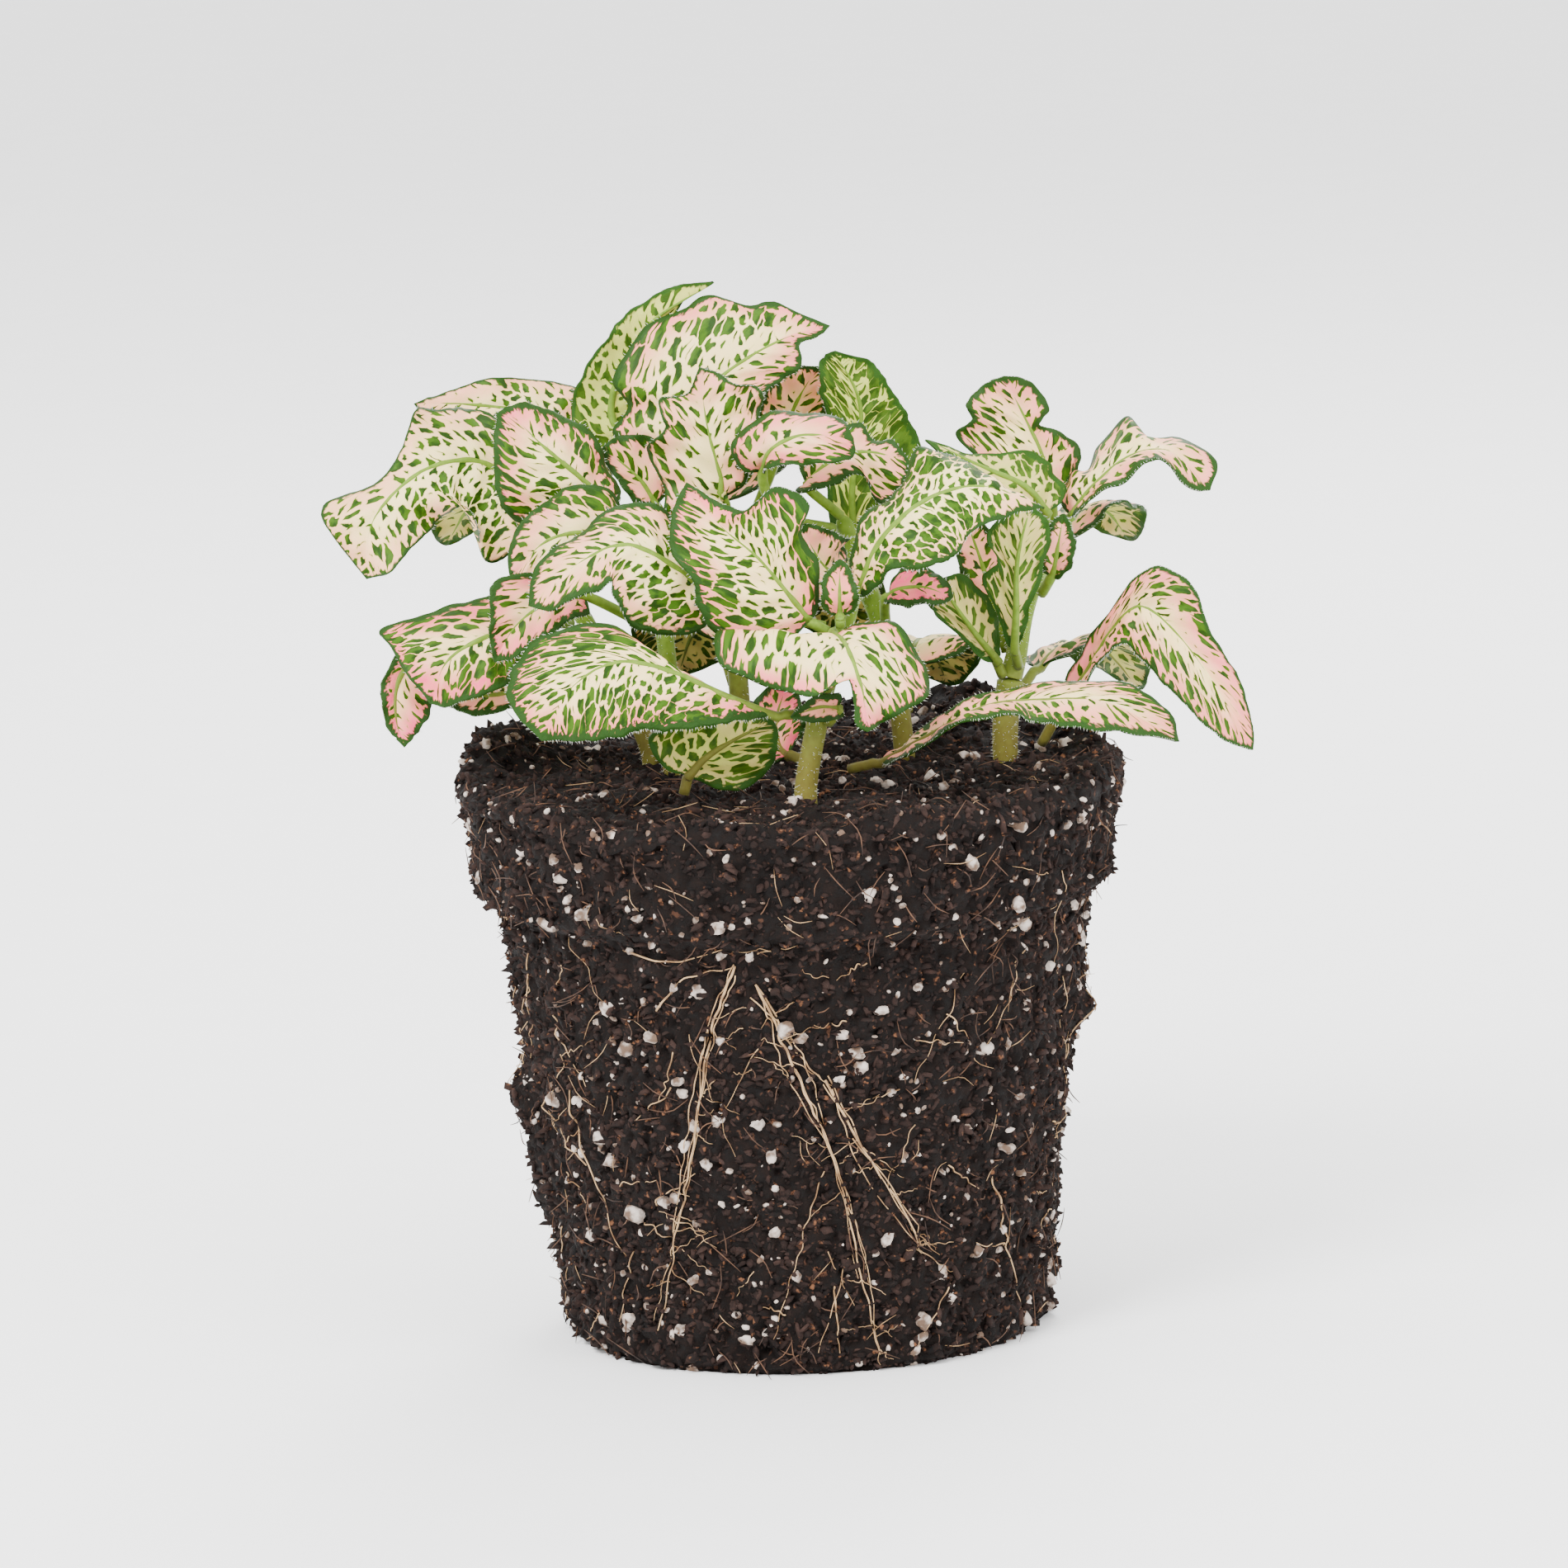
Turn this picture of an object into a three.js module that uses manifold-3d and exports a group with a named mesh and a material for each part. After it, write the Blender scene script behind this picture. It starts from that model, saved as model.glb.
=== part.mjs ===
// A nerve plant with its root ball: a pot-shaped plug of potting mix, the stems that rise out of it,
// every leaf as a thin folded blade on its own petiole, and the roots that show on the plug's side.
// Millimetres, +Z up, front towards -Y. The origin is the centre of the root ball's flat foot.
import * as THREE from "three";
import { LoftGeometry } from "three/addons/geometries/LoftGeometry.js";
import { mergeVertices } from "three/addons/utils/BufferGeometryUtils.js";
import Module from "manifold-3d";

// ---- Driving dimensions ----

const BALL_HEIGHT = 98; // foot to the highest ring of the soil
const FOOT_RADIUS = 41;
const WAIST_RADIUS = 50; // just under the shoulder that a pot's rim moulded
const RIM_RADIUS = 57;
const RIM_BAND = 20; // height of the wide band at the top
const SHOULDER = 3.5; // height over which the ball widens from waist to band
const BAND_DRAFT = 3; // how much narrower the band is at its lower edge
const EDGE_ROUND = 2;
const FOOT_ROUND = 1.5;
const SOIL_DISH = 2.5; // how far the soil surface sinks inside its rim
const SOIL_LIP = 9; // width of the raised soil along the rim
const BALL_SEGMENTS = 36;

const SOIL_DATUM = 98; // height of the soil's rim that the plant's points below are given for
const SOCKET_DEPTH = 14; // how deep a stem sits in the soil, below the rim
const CLEARANCE = 0.35; // free gap where two pieces meet
const STEM_SIDES = 8;
const STEM_STEPS = 6;

const LEAF_THICKNESS = 0.6;
const PETIOLE_HALF_WIDTH = 1.1;
const PETIOLE_THICKNESS = 1.8;
const BLADE_ARCH = 0.06; // how far a half blade arches between midrib and margin, as a share of its width
const BROADEST = { rise: 0.5, fall: 0.72 }; // exponents of a plain blade's outline
const STALK_SECTIONS = 2;
const BLADE_SECTIONS = 8;
const FIRST_SHARE = 0.04; // the first and last section of a blade, as shares of its length
const LAST_SHARE = 0.985;
const RUN_ON = 0.15; // a stalk aims at this share of its blade's midrib
const SHORT_STEP = 0.01; // for the direction of a curve

const ROOT_RADIUS = 0.6;
const ROOT_SIDES = 6;
const ROOT_STEPS = 9;

const COLOURS = { soil: 0x2f2521, stem: 0x93ab52, leaf: 0xe6d9bd, root: 0xb79a72 };

// ---- Stems: radius, and points from the soil upwards ----

const STEMS = {
  front: { radius: 1.8, path: [[2.5, -25, 98], [4.2, -25, 106], [6.5, -22.5, 115], [9, -18, 122.5]] },
  left: { radius: 1.6, path: [[-20, 5, 98], [-20, 3, 112], [-21, 2, 126], [-22, 3, 137.5]] },
  far_left: { radius: 1.6, path: [[-24, 13, 98], [-30, 14, 112], [-37, 11, 127], [-40, 9, 137]] },
  centre: { radius: 1.8, path: [[-8, 20, 98], [-9, 18, 118], [-12, 13, 136], [-15, 10, 147]] },
  centre_right: { radius: 1.8, path: [[19.5, 10, 98], [18, 9, 112], [14, 8, 126], [10, 8, 137]] },
  right: { radius: 2.4, path: [[36.7, 5, 98], [37, 5, 103], [38, 5.3, 109.5]] },
};
const BRANCH = { radius: 1.7, path: [[39, 5.8, 112.5], [40.5, 7, 120], [43, 8, 127], [45.5, 7.5, 132.5]] };

// ---- Leaves seen from the front ----
// stalk: points from the stem to the blade's foot
// mid:   points along the midrib, from the blade's foot to its tip
// left, right: points along each margin, looking from the foot to the tip with the upper side up
// A point is [x, y, sight height]: its height where the line of sight from in front crosses y = 0.

const SIGHT_SLOPE = 0.194; // the line of sight falls by this much for each millimetre towards the back

const SHAPED_LEAVES = {
  leaf_front_left: {
    stalk: [[2, -27.5, 105.2]],
    mid: [
      [-1.5, -29, 105.4], [-10, -34, 109], [-19, -38, 113.2], [-28, -41, 115], [-36, -42, 110.5],
      [-41, -41, 102],
    ],
    left: [
      [-6, -33, 104.6], [-13, -37, 103.8], [-20, -40, 103], [-24, -41, 103.3], [-28, -41, 102.4],
      [-35, -41, 101.8],
    ],
    right: [
      [-9, -30, 107.5], [-18, -32, 112.5], [-28, -35, 120.4], [-39, -38, 120], [-45, -39, 115.5],
      [-46.2, -40, 109],
    ],
  },
  leaf_front_low: {
    stalk: [[7.8, -24, 117]],
    mid: [[8, -27, 119], [9.5, -33, 117.5], [11, -38, 114], [12.5, -41, 108], [13, -41, 101.7]],
    left: [
      [13, -27, 119.5], [20, -29, 118.5], [23.5, -33, 113], [22.8, -36, 107.5], [19, -38, 105],
      [15.5, -40, 102.8],
    ],
    right: [
      [3, -27, 119], [-4, -29, 117.8], [-11.5, -31, 118], [-11, -36, 114], [-6.5, -38, 112],
      [-1, -39, 110.3], [4.5, -40, 107.8], [8.5, -39, 111.2], [10.3, -39, 111.5], [10.6, -41, 107],
      [11.3, -42, 102.8],
    ],
  },
  leaf_front_small: {
    stalk: [[7.2, -26.5, 104.2]],
    mid: [[8.5, -28, 106], [5, -30, 106.2], [0.4, -31, 104.6]],
    left: [[9.5, -28, 104.5], [6, -30, 103.6], [2.5, -31, 103.8]],
    right: [[9, -29, 108], [5, -30, 108], [2, -31, 106.4]],
  },
  leaf_front_middle: {
    stalk: [[6.3, -20.3, 119.6]],
    mid: [
      [4.3, -21.5, 120.9], [0.4, -23, 126], [-4.3, -24, 132], [-10.2, -24, 137.5], [-15.7, -21, 145.2],
    ],
    left: [
      [0, -22, 117.6], [-6, -24, 117], [-11, -26, 119], [-14.4, -27, 124], [-15, -27, 128],
      [-18.6, -26, 133], [-18.6, -25, 138], [-17.5, -23, 142],
    ],
    right: [
      [5.5, -21, 123], [5.8, -22, 130.7], [3.2, -25, 136], [4.3, -28, 140], [-0.3, -28, 144],
      [-4, -27, 141.5], [-7, -25, 140], [-11, -23, 142],
    ],
  },
  leaf_left_front: {
    stalk: [[5.5, -14.5, 120.4], [-5, -15.5, 123]],
    mid: [[-12, -19, 125.5], [-18, -22.5, 131], [-26, -26, 135], [-34, -28, 132], [-42.7, -27, 125]],
    left: [
      [-13, -20, 121], [-17, -23, 119.2], [-22, -25, 119.7], [-26, -28, 121.5], [-28.5, -30, 126],
      [-28.6, -31, 128.8], [-31, -31, 127.4], [-35, -31, 126], [-39, -29, 124],
    ],
    right: [
      [-12, -17.5, 131], [-17, -18.5, 138], [-23, -19, 142], [-29.6, -21, 140.6], [-34.5, -23, 137],
      [-38.7, -25, 134], [-42, -26, 129.5],
    ],
  },
  leaf_left_middle: {
    stalk: [[-24.2, 0.5, 134]],
    mid: [[-27, -5, 135], [-33, -10, 137.5], [-40, -12, 136], [-46, -12, 129.5]],
    left: [[-28, -8, 131], [-33, -12, 130], [-39, -14, 128.5], [-44, -14, 127]],
    right: [
      [-26, -4, 140], [-29, -4, 144.5], [-35, -6, 145.6], [-39, -8, 143.5], [-43, -10, 140.5],
      [-46, -11, 135],
    ],
  },
  leaf_left_low: {
    stalk: [[-23, -0.5, 121], [-28, -7, 124]],
    mid: [[-33, -12, 126.5], [-39, -15, 126], [-45, -17, 122], [-49, -17, 115.8]],
    left: [[-33, -13, 123.5], [-36, -16, 122.6], [-39, -18, 120.4], [-42.5, -18, 118], [-46, -18, 116.4]],
    right: [
      [-36, -15, 129.5], [-42, -17.5, 131], [-47.8, -18, 129.7], [-49.3, -18, 125], [-49.6, -18, 120],
    ],
  },
  leaf_left_pink: {
    stalk: [[-37, 8, 122.5]],
    mid: [[-43, -3, 122], [-50, -8, 120.5], [-57, -9, 116.5], [-60.3, -9, 109.2]],
    left: [[-43, -5, 117.5], [-45, -8, 113.5], [-48, -10, 111.5], [-54, -11, 109.5], [-58, -11, 108.6]],
    right: [
      [-44, -2, 126.3], [-49, -3, 127.8], [-55.4, -4, 125.8], [-61, -4, 124.4], [-68.5, -5, 122.3],
      [-66.6, -6, 119], [-63.6, -8, 114],
    ],
  },
  leaf_left_hanging: {
    stalk: [[-35.2, 11.5, 119], [-45, 8, 121.5], [-56, 4, 122]],
    mid: [[-62, 2, 119], [-65.8, 0, 113], [-66.4, 0, 107], [-65.2, 0, 101.8]],
    left: [[-60, 3, 116], [-59.6, 2, 111], [-61, 1, 107.5], [-62.8, 0, 104.5]],
    right: [[-65.5, 1, 118.5], [-68.3, -1, 113.5], [-68.5, -1, 109], [-67.6, 0, 104.8]],
  },
  leaf_left_sliver: {
    stalk: [[-30.5, 11.2, 111.6], [-38, 5, 113]],
    mid: [[-44, 0, 111], [-51, -2, 110.4], [-57.6, -3, 109]],
    left: [[-45, -2, 108.5], [-50, -4, 107.2], [-55, -4, 107.6]],
    right: [[-44, 2, 113], [-50, 1, 113], [-55, -1, 111.2]],
  },
  leaf_left_far: {
    stalk: [[-42.2, 9, 139.5]],
    mid: [[-45, 8, 147.5], [-52, 6, 151], [-61, 3, 149], [-69, 1, 141], [-70.5, 1, 131]],
    left: [
      [-44, 7, 141], [-46, 4.5, 134.6], [-50, 3.5, 133.8], [-51.4, 3, 138.5], [-53.5, 3, 143],
      [-57, 3, 141], [-61, 1, 137.6], [-66, 0, 132.4],
    ],
    right: [
      [-45, 9.5, 153], [-50, 10, 160], [-55.5, 8, 160], [-61.4, 6, 159.6], [-64, 5, 153],
      [-69, 3, 147.5], [-77.5, 1, 143.8], [-75.5, 0, 138],
    ],
  },
  leaf_left_folded: {
    stalk: [[-24.3, 3, 139.8]],
    mid: [[-28, 1.5, 141.5], [-34, -1, 147.5], [-40, -2, 153], [-46, -1, 159.6]],
    left: [
      [-33, 1, 139], [-40, -1, 139], [-45.2, -2, 140], [-48, -3, 146], [-48, -3, 154], [-47.4, -2, 158],
    ],
    right: [[-27, 3, 145], [-29.6, 3, 150.5], [-32, 3, 155], [-37, 2, 158.6], [-42, 0.5, 160.2]],
  },
  leaf_left_upper: {
    stalk: [[-40, 12, 140.8], [-37.5, 16, 149]],
    mid: [[-37, 18, 155], [-44, 18, 159.5], [-53, 16.5, 161], [-61.7, 14, 161.3]],
    left: [[-38, 16, 152], [-46, 14.5, 153], [-53, 14.5, 155], [-58.7, 14, 157.2]],
    right: [[-34, 20, 158], [-33.5, 21, 163], [-40.6, 21, 165], [-50, 19, 165], [-57, 16.5, 163.2]],
  },
  leaf_top_rolled: {
    stalk: [[-17.5, 12.5, 147]],
    mid: [[-25, 15.5, 151.5], [-28.5, 17, 159], [-25.5, 18, 168], [-20, 17, 175], [-10.3, 15, 180.6]],
    left: [[-22, 16, 153], [-22, 18, 160], [-20, 19, 168], [-18, 18, 173.5], [-14.5, 16.5, 178.6]],
    right: [
      [-31, 15.5, 152], [-35, 15.5, 158], [-33, 16, 165.5], [-28.5, 17, 172], [-24, 17, 176.5],
      [-17, 16, 180],
    ],
  },
  leaf_top_large: {
    stalk: [[-17.4, 9.3, 149.8]],
    mid: [[-19.5, 8.5, 152], [-16, 8, 158], [-8, 8, 165], [1, 10, 170], [9.3, 12, 172.2]],
    left: [
      [-24, 9.5, 151.5], [-28.4, 11, 155], [-25.4, 12, 159.6], [-28, 12, 164], [-24.4, 13, 170],
      [-21, 14, 174], [-15, 14, 176.5], [-11, 14, 178.3], [-5, 13, 176.2], [0, 13, 176.2],
      [6, 12, 173.6],
    ],
    right: [
      [-17, 9, 150], [-12, 7, 152], [-6, 6, 156], [-2.8, 7, 160], [1, 8, 163], [4, 9, 165],
      [4.3, 10, 169], [7.5, 11, 170.5],
    ],
  },
  leaf_top_behind: {
    stalk: [[-8.6, 19.3, 131.7], [-4, 22, 142]],
    mid: [[-1, 22, 149], [2, 22, 157], [4, 22, 161], [7, 21, 165.6]],
    left: [[-5, 22, 151], [-4, 22, 157], [-2, 22, 162], [2, 22, 165.6]],
    right: [[4, 22, 150], [8, 22, 155], [9, 22, 160], [9, 21, 163.5]],
  },
  leaf_top_pale: {
    stalk: [[-11, 9.7, 134.8]],
    mid: [[-8.8, -0.5, 138.5], [-10, -3, 146], [-12, -4, 155], [-13, -6, 165]],
    left: [
      [-13, 0, 137.5], [-19, -1, 140], [-20, -2, 145], [-22.3, -3, 151], [-19.2, -4, 155.5],
      [-20, -5, 159.4], [-15.5, -5, 160.5],
    ],
    right: [
      [-8, -1, 140], [-9.6, -2, 142.5], [-6, -4, 145], [-4.4, -6, 150], [-3.2, -6, 156], [-3, -6, 161],
      [-8, -6, 163],
    ],
  },
  leaf_top_small: {
    stalk: [[-20, 5.3, 139.5]],
    mid: [[-21, 5, 142], [-24, 5.5, 147], [-30, 6, 152.5]],
    left: [[-24, 4.5, 142], [-27, 5, 146], [-29.5, 5.5, 149.6]],
    right: [[-19, 5.5, 145], [-19.5, 5.5, 150], [-21.5, 6, 154.2], [-26.6, 6, 154.4]],
  },
  leaf_middle_green: {
    stalk: [[15.4, 12.4, 122]],
    mid: [[13.2, 14, 127], [12, 14.5, 143], [14, 15, 158], [10, 14, 168]],
    left: [
      [15.2, 12.8, 131], [18.6, 14, 143], [24.5, 16, 149], [22, 16, 156], [20, 15, 160],
      [16.5, 14, 165.4],
    ],
    right: [[9.4, 14, 131], [7.6, 14, 147], [8.4, 15, 156], [7, 14, 162], [7.6, 14, 166.6]],
  },
  leaf_middle_curled: {
    stalk: [[7.8, 5.5, 137.4], [0, -2, 139.5]],
    mid: [[-3.5, -8, 146.5], [-1.5, -12, 150.5], [4, -13, 152.8], [12.5, -12, 152]],
    left: [[-7, -8, 148], [-8, -9, 152], [-5, -9, 154.8], [-1, -8, 156.6], [5, -8, 157.2], [10, -9, 156]],
    right: [[-2.5, -11, 147.3], [0.5, -14, 147.6], [5, -15, 147.6], [10, -14, 148], [12.6, -13, 149]],
  },
  leaf_middle_back: {
    stalk: [[9.2, 5.3, 140]],
    mid: [[4, 1.5, 145], [9, 1, 149], [15, 0, 150], [22, 0, 148]],
    left: [[3.5, 3, 149], [8, 3, 153.6], [13.7, 3, 154.8], [16, 2, 152], [19.3, 1, 151.8]],
    right: [
      [3, -1, 143.4], [8, -2, 144.4], [12, -2, 146.3], [15, -1, 145], [15.5, -1, 142], [18, -1, 141],
      [21, -1, 144.5],
    ],
  },
  leaf_right_large: {
    stalk: [[10.7, -16, 120.2]],
    mid: [[12, -17, 125], [16, -19, 134], [24, -20, 141], [34, -20, 143], [44, -18, 139]],
    left: [
      [10.6, -16, 129], [12, -15, 134.5], [14.4, -14, 138.8], [18, -14, 141.4], [20.4, -13, 145],
      [23, -12, 150], [28, -13, 148], [36, -16, 143.8],
    ],
    right: [
      [14, -18, 125], [16, -19.5, 127.5], [19, -20.5, 129.6], [23, -22, 129], [27, -23, 130.2],
      [29.5, -23, 132], [32, -22, 135.6], [39, -19.5, 138],
    ],
  },
  leaf_right_long: {
    stalk: [[11, -15, 95.8]],
    mid: [
      [15, -17, 96.8], [24, -23, 101.5], [33, -27, 105.8], [42, -29, 106.4], [53, -29, 105.5],
      [65.2, -26, 98.4],
    ],
    left: [
      [16, -16, 98], [22, -19, 102], [28, -22, 105.5], [35, -23, 108], [43, -24, 109.7],
      [52, -25, 109.5], [59, -25, 107], [64, -25, 102.5],
    ],
    right: [
      [17, -20, 96.2], [22, -25, 98.8], [28, -30, 103], [33, -32, 104.2], [38, -33, 103.8],
      [41, -34, 102], [46, -33, 101.8], [53, -32, 100.8], [60, -29, 99.8],
    ],
  },
  leaf_right_arching: {
    stalk: [[43.5, 8, 99.8]],
    mid: [
      [46.5, 6, 105], [51, 4, 111.5], [55, 1, 118], [60, -2, 122], [66, -5, 117], [72, -8, 108],
      [78.2, -10, 96.6],
    ],
    left: [
      [47, 6, 109], [51, 4, 116.5], [55, 0, 121.5], [59, -3, 126.4], [63, -5, 128.2], [69, -6, 124.4],
      [72.5, -7, 116], [76, -8, 109], [78.4, -9, 101],
    ],
    right: [
      [48, 5, 104.5], [50.5, 3, 108.5], [53.7, 0, 113], [57, -3, 115.6], [60, -6, 112.5], [64, -9, 108],
      [69, -11, 102], [73.5, -12, 98.4],
    ],
  },
  leaf_right_underside: {
    stalk: [[36.2, 3.4, 111.8]],
    mid: [[35.5, 2.5, 113.5], [33, 0, 117], [29.5, -2, 122], [26, -2, 127.8]],
    left: [[36.3, 2, 116], [35.9, 0, 121], [33.5, -1, 125.5], [30, -2, 128.4]],
    right: [[33.5, 1, 113.5], [29, -1, 118], [25, -2, 122.5], [24, -2, 125.5]],
  },
  leaf_right_upright: {
    stalk: [[39.2, 2.6, 113]],
    mid: [[38.6, -1, 115.5], [39, -5, 122], [39.5, -6, 131], [42, -5, 140]],
    left: [[39.8, -2, 117], [41.2, -4.5, 122], [43.5, -5, 128], [45, -5, 133], [44.6, -5, 137]],
    right: [
      [37, -2, 117], [35.7, -4, 122], [33.3, -4.5, 127.7], [36.4, -5, 130.5], [34.6, -5, 133.7],
      [35.4, -5, 136.8], [39, -5, 139.4],
    ],
  },
  leaf_right_backward: {
    stalk: [[44.4, 4.6, 135.6]],
    mid: [[44.5, 2.5, 138.5], [41, 0, 143], [33, 0, 147], [24.5, 0, 151.5]],
    left: [[48, 4, 142], [46.5, 4, 145.5], [43.3, 4, 148.4], [36.6, 3, 149.2], [31, 2, 149.2]],
    right: [[43, 0.5, 138.4], [41, -2, 140], [36, -3, 142], [30, -2, 146.5]],
  },
  leaf_right_tall: {
    stalk: [[46, 10.3, 136]],
    mid: [[46, 12, 141.5], [44.5, 13, 149], [41.5, 13, 156], [38.5, 12, 162.5]],
    left: [
      [42, 11, 142.5], [36, 11, 147], [30, 12, 152.3], [32.6, 12, 155.4], [32, 12, 158],
      [35.6, 12, 161.4],
    ],
    right: [
      [49, 12, 143], [51, 12, 147.5], [50, 12, 150.5], [47, 13, 153], [44.4, 13, 154.2], [46, 13, 156.3],
      [45, 13, 159], [41.8, 12, 162],
    ],
  },
  leaf_right_far: {
    stalk: [[48.2, 6, 134.5]],
    mid: [[48.5, 5.5, 138], [52.5, 4, 143], [59, 3, 148], [66, 1, 148.4], [72.5, 0, 141.5]],
    left: [
      [47.4, 9, 141.5], [49, 12, 146], [52, 13, 146.4], [55, 13, 150], [59, 11, 154.6], [62.5, 9, 152],
      [68, 6, 150.8], [73.4, 3, 146.5],
    ],
    right: [
      [50, 3, 138.4], [53.5, 0, 141.5], [57.5, -2, 144], [62, -3, 147], [65.5, -3, 145.5], [69, -2, 142],
    ],
  },
  leaf_low_left: {
    stalk: [[-17.6, -25, 93.4]],
    mid: [[-17, -25, 95.4], [-14, -25, 98.5], [-9, -25, 101.5], [-2.5, -26, 104.5]],
    left: [[-13, -24, 93.2], [-7.5, -23, 93], [-3, -24, 96.5], [-1.8, -25, 101]],
    right: [[-21, -25, 97], [-23.5, -26, 102], [-18, -27, 105.5], [-9, -27, 107]],
  },
};

// ---- Leaves behind and between them ----
// path:  points along the midrib, from the foot of the petiole to the tip
// stalk: share of the path that is petiole
// half:  greatest width of the blade left and right of the midrib, looking from the foot to the tip
// face:  direction that the upper side faces, at the foot and at the tip
// left, right: [rise at the midrib, further rise towards the margin] of each half, in degrees

const PLAIN_LEAVES = {
  leaf_middle_inner: {
    path: [[13, 5, 125.5], [10, -0.5, 128.5], [6.5, -4.5, 132], [3, -6.5, 139]],
    stalk: 0.25, half: [6.5, 6.5], face: [[0, -0.8, 0.6], [0, -0.9, 0.4]], left: [10, 0], right: [10, 0],
  },
  leaf_right_shaded: {
    path: [[17, 5.3, 120.5], [17.5, -2, 126], [23, -5, 127.5], [28.5, -5, 125.5]],
    stalk: 0.3, half: [4, 4], face: [[0, -0.7, 0.7], [0.1, -0.8, 0.6]], left: [5, 5], right: [5, 5],
  },
  leaf_young: {
    path: [[9.2, -20.9, 125], [9.2, -22.3, 129.5], [9.5, -21.5, 135.5]],
    stalk: 0.1, half: [3.2, 3.2], face: [[0, -0.95, 0.3], [0, -0.9, 0.4]], left: [15, 0], right: [15, 0],
  },
  leaf_right_inner: {
    path: [[44, 4.2, 124.5], [45.5, -1, 128.5], [46.5, -3.5, 134], [47.5, -4.5, 139]],
    stalk: 0.25, half: [3, 3], face: [[0, -0.95, 0.3], [0, -0.9, 0.4]], left: [10, 0], right: [10, 0],
  },
  leaf_right_tan: {
    path: [[37.2, 8.6, 114.5], [35, 9, 124], [33, 9, 131], [31, 8, 137]],
    stalk: 0.25, half: [4, 4], face: [[0, -0.9, 0.3], [0, -0.95, 0.3]], left: [8, 0], right: [8, 0],
  },
  leaf_low_middle: {
    path: [[1.9, -20.8, 101.5], [-1.5, -17.5, 103], [-2, -14, 107.5], [0.5, -12, 114]],
    stalk: 0.2, half: [5.5, 5.5], face: [[-0.2, -0.6, 0.8], [-0.1, -0.95, 0.3]], left: [5, 5], right: [5, 5],
  },
  leaf_back_centre_low: {
    path: [[-9.6, 21.9, 108], [-12.5, 30, 116.5], [-16, 38, 113.5], [-19, 45, 104.5]],
    stalk: 0.2, half: [12, 12], face: [[-0.1, 0.5, 0.85], [-0.2, 0.8, 0.5]], left: [5, -12], right: [5, -12],
  },
  leaf_back_centre_high: {
    path: [[-14.5, 16.4, 136], [-22, 24, 145], [-30, 32, 146], [-36, 39, 139]],
    stalk: 0.2, half: [10, 10], face: [[-0.1, 0.5, 0.85], [-0.3, 0.7, 0.6]], left: [5, -12], right: [5, -12],
  },
  leaf_back_top: {
    path: [[-11, 18, 133], [-9, 28, 142], [-7, 36, 148], [-5, 43, 145]],
    stalk: 0.2, half: [10, 10], face: [[0.1, 0.4, 0.9], [0.1, 0.7, 0.7]], left: [5, -12], right: [5, -12],
  },
  leaf_back_middle: {
    path: [[-6.2, 21.2, 114], [2, 29, 121], [8, 37, 118], [12, 44, 109]],
    stalk: 0.2, half: [12, 12], face: [[0.1, 0.5, 0.85], [0.1, 0.8, 0.6]], left: [5, -12], right: [5, -12],
  },
  leaf_back_right_low: {
    path: [[20.5, 12.2, 104], [22, 21, 113], [25, 31, 111], [28, 39, 102.5]],
    stalk: 0.2, half: [11, 11], face: [[0.1, 0.5, 0.85], [0.3, 0.7, 0.6]], left: [5, -12], right: [5, -12],
  },
  leaf_back_right_high: {
    path: [[15.3, 11.3, 125], [20, 20, 135], [26, 28, 138], [32, 35, 132]],
    stalk: 0.2, half: [10, 10], face: [[0.1, 0.4, 0.9], [0.3, 0.6, 0.7]], left: [5, -12], right: [5, -12],
  },
  leaf_back_left_low: {
    path: [[-29, 17, 106.5], [-33, 24, 115], [-39, 31, 113], [-44, 37, 105]],
    stalk: 0.2, half: [11, 11], face: [[-0.1, 0.4, 0.9], [-0.3, 0.6, 0.7]], left: [5, -12], right: [5, -12],
  },
  leaf_back_left_high: {
    path: [[-42, 12, 134], [-47, 20, 140], [-53, 27, 139], [-58, 33, 131]],
    stalk: 0.2, half: [9, 9], face: [[-0.1, 0.3, 0.9], [-0.3, 0.6, 0.7]], left: [5, -12], right: [5, -12],
  },
  leaf_back_side_high: {
    path: [[44.3, 10.8, 125], [49, 19, 134], [55, 26, 135], [60, 32, 128]],
    stalk: 0.2, half: [9, 9], face: [[0.1, 0.4, 0.9], [0.4, 0.6, 0.7]], left: [5, -12], right: [5, -12],
  },
  leaf_back_side_low: {
    path: [[38.5, 8.8, 105], [46, 18, 112], [54, 25, 111], [61, 31, 102]],
    stalk: 0.2, half: [9, 9], face: [[0.1, 0.4, 0.9], [0.4, 0.6, 0.7]], left: [5, -12], right: [5, -12],
  },
};

// ---- Roots on the ball's side: [bearing from the front in degrees, height] from top to bottom ----

const ROOTS = {
  root_left: [[-12, 72.5], [-18, 60], [-23, 42], [-29, 26], [-37, 7]],
  root_middle: [[-8, 69], [-1, 54], [6.5, 38], [13, 15], [17, 3]],
  root_branch: [[5, 52], [12, 41], [24, 25], [27, 20]],
};

// ---- Shared geometry ----

const vector = ([x, y, z]) => new THREE.Vector3(x, y, z);
const onSoil = ([x, y, z]) => new THREE.Vector3(x, y, z + BALL_HEIGHT - SOIL_DATUM);
const inSight = ([x, y, sight]) => onSoil([x, y, sight - SIGHT_SLOPE * y]);
const radians = THREE.MathUtils.degToRad;
const curveThrough = (points) => new THREE.CatmullRomCurve3(points, false, "catmullrom", 0.5);

const plant = new THREE.Group();

function add(name, geometry, colour, roughness) {
  const material = new THREE.MeshStandardMaterial({ color: colour, roughness, metalness: 0 });
  const mesh = new THREE.Mesh(geometry, material);
  mesh.name = name;
  plant.add(mesh);
}

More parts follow.
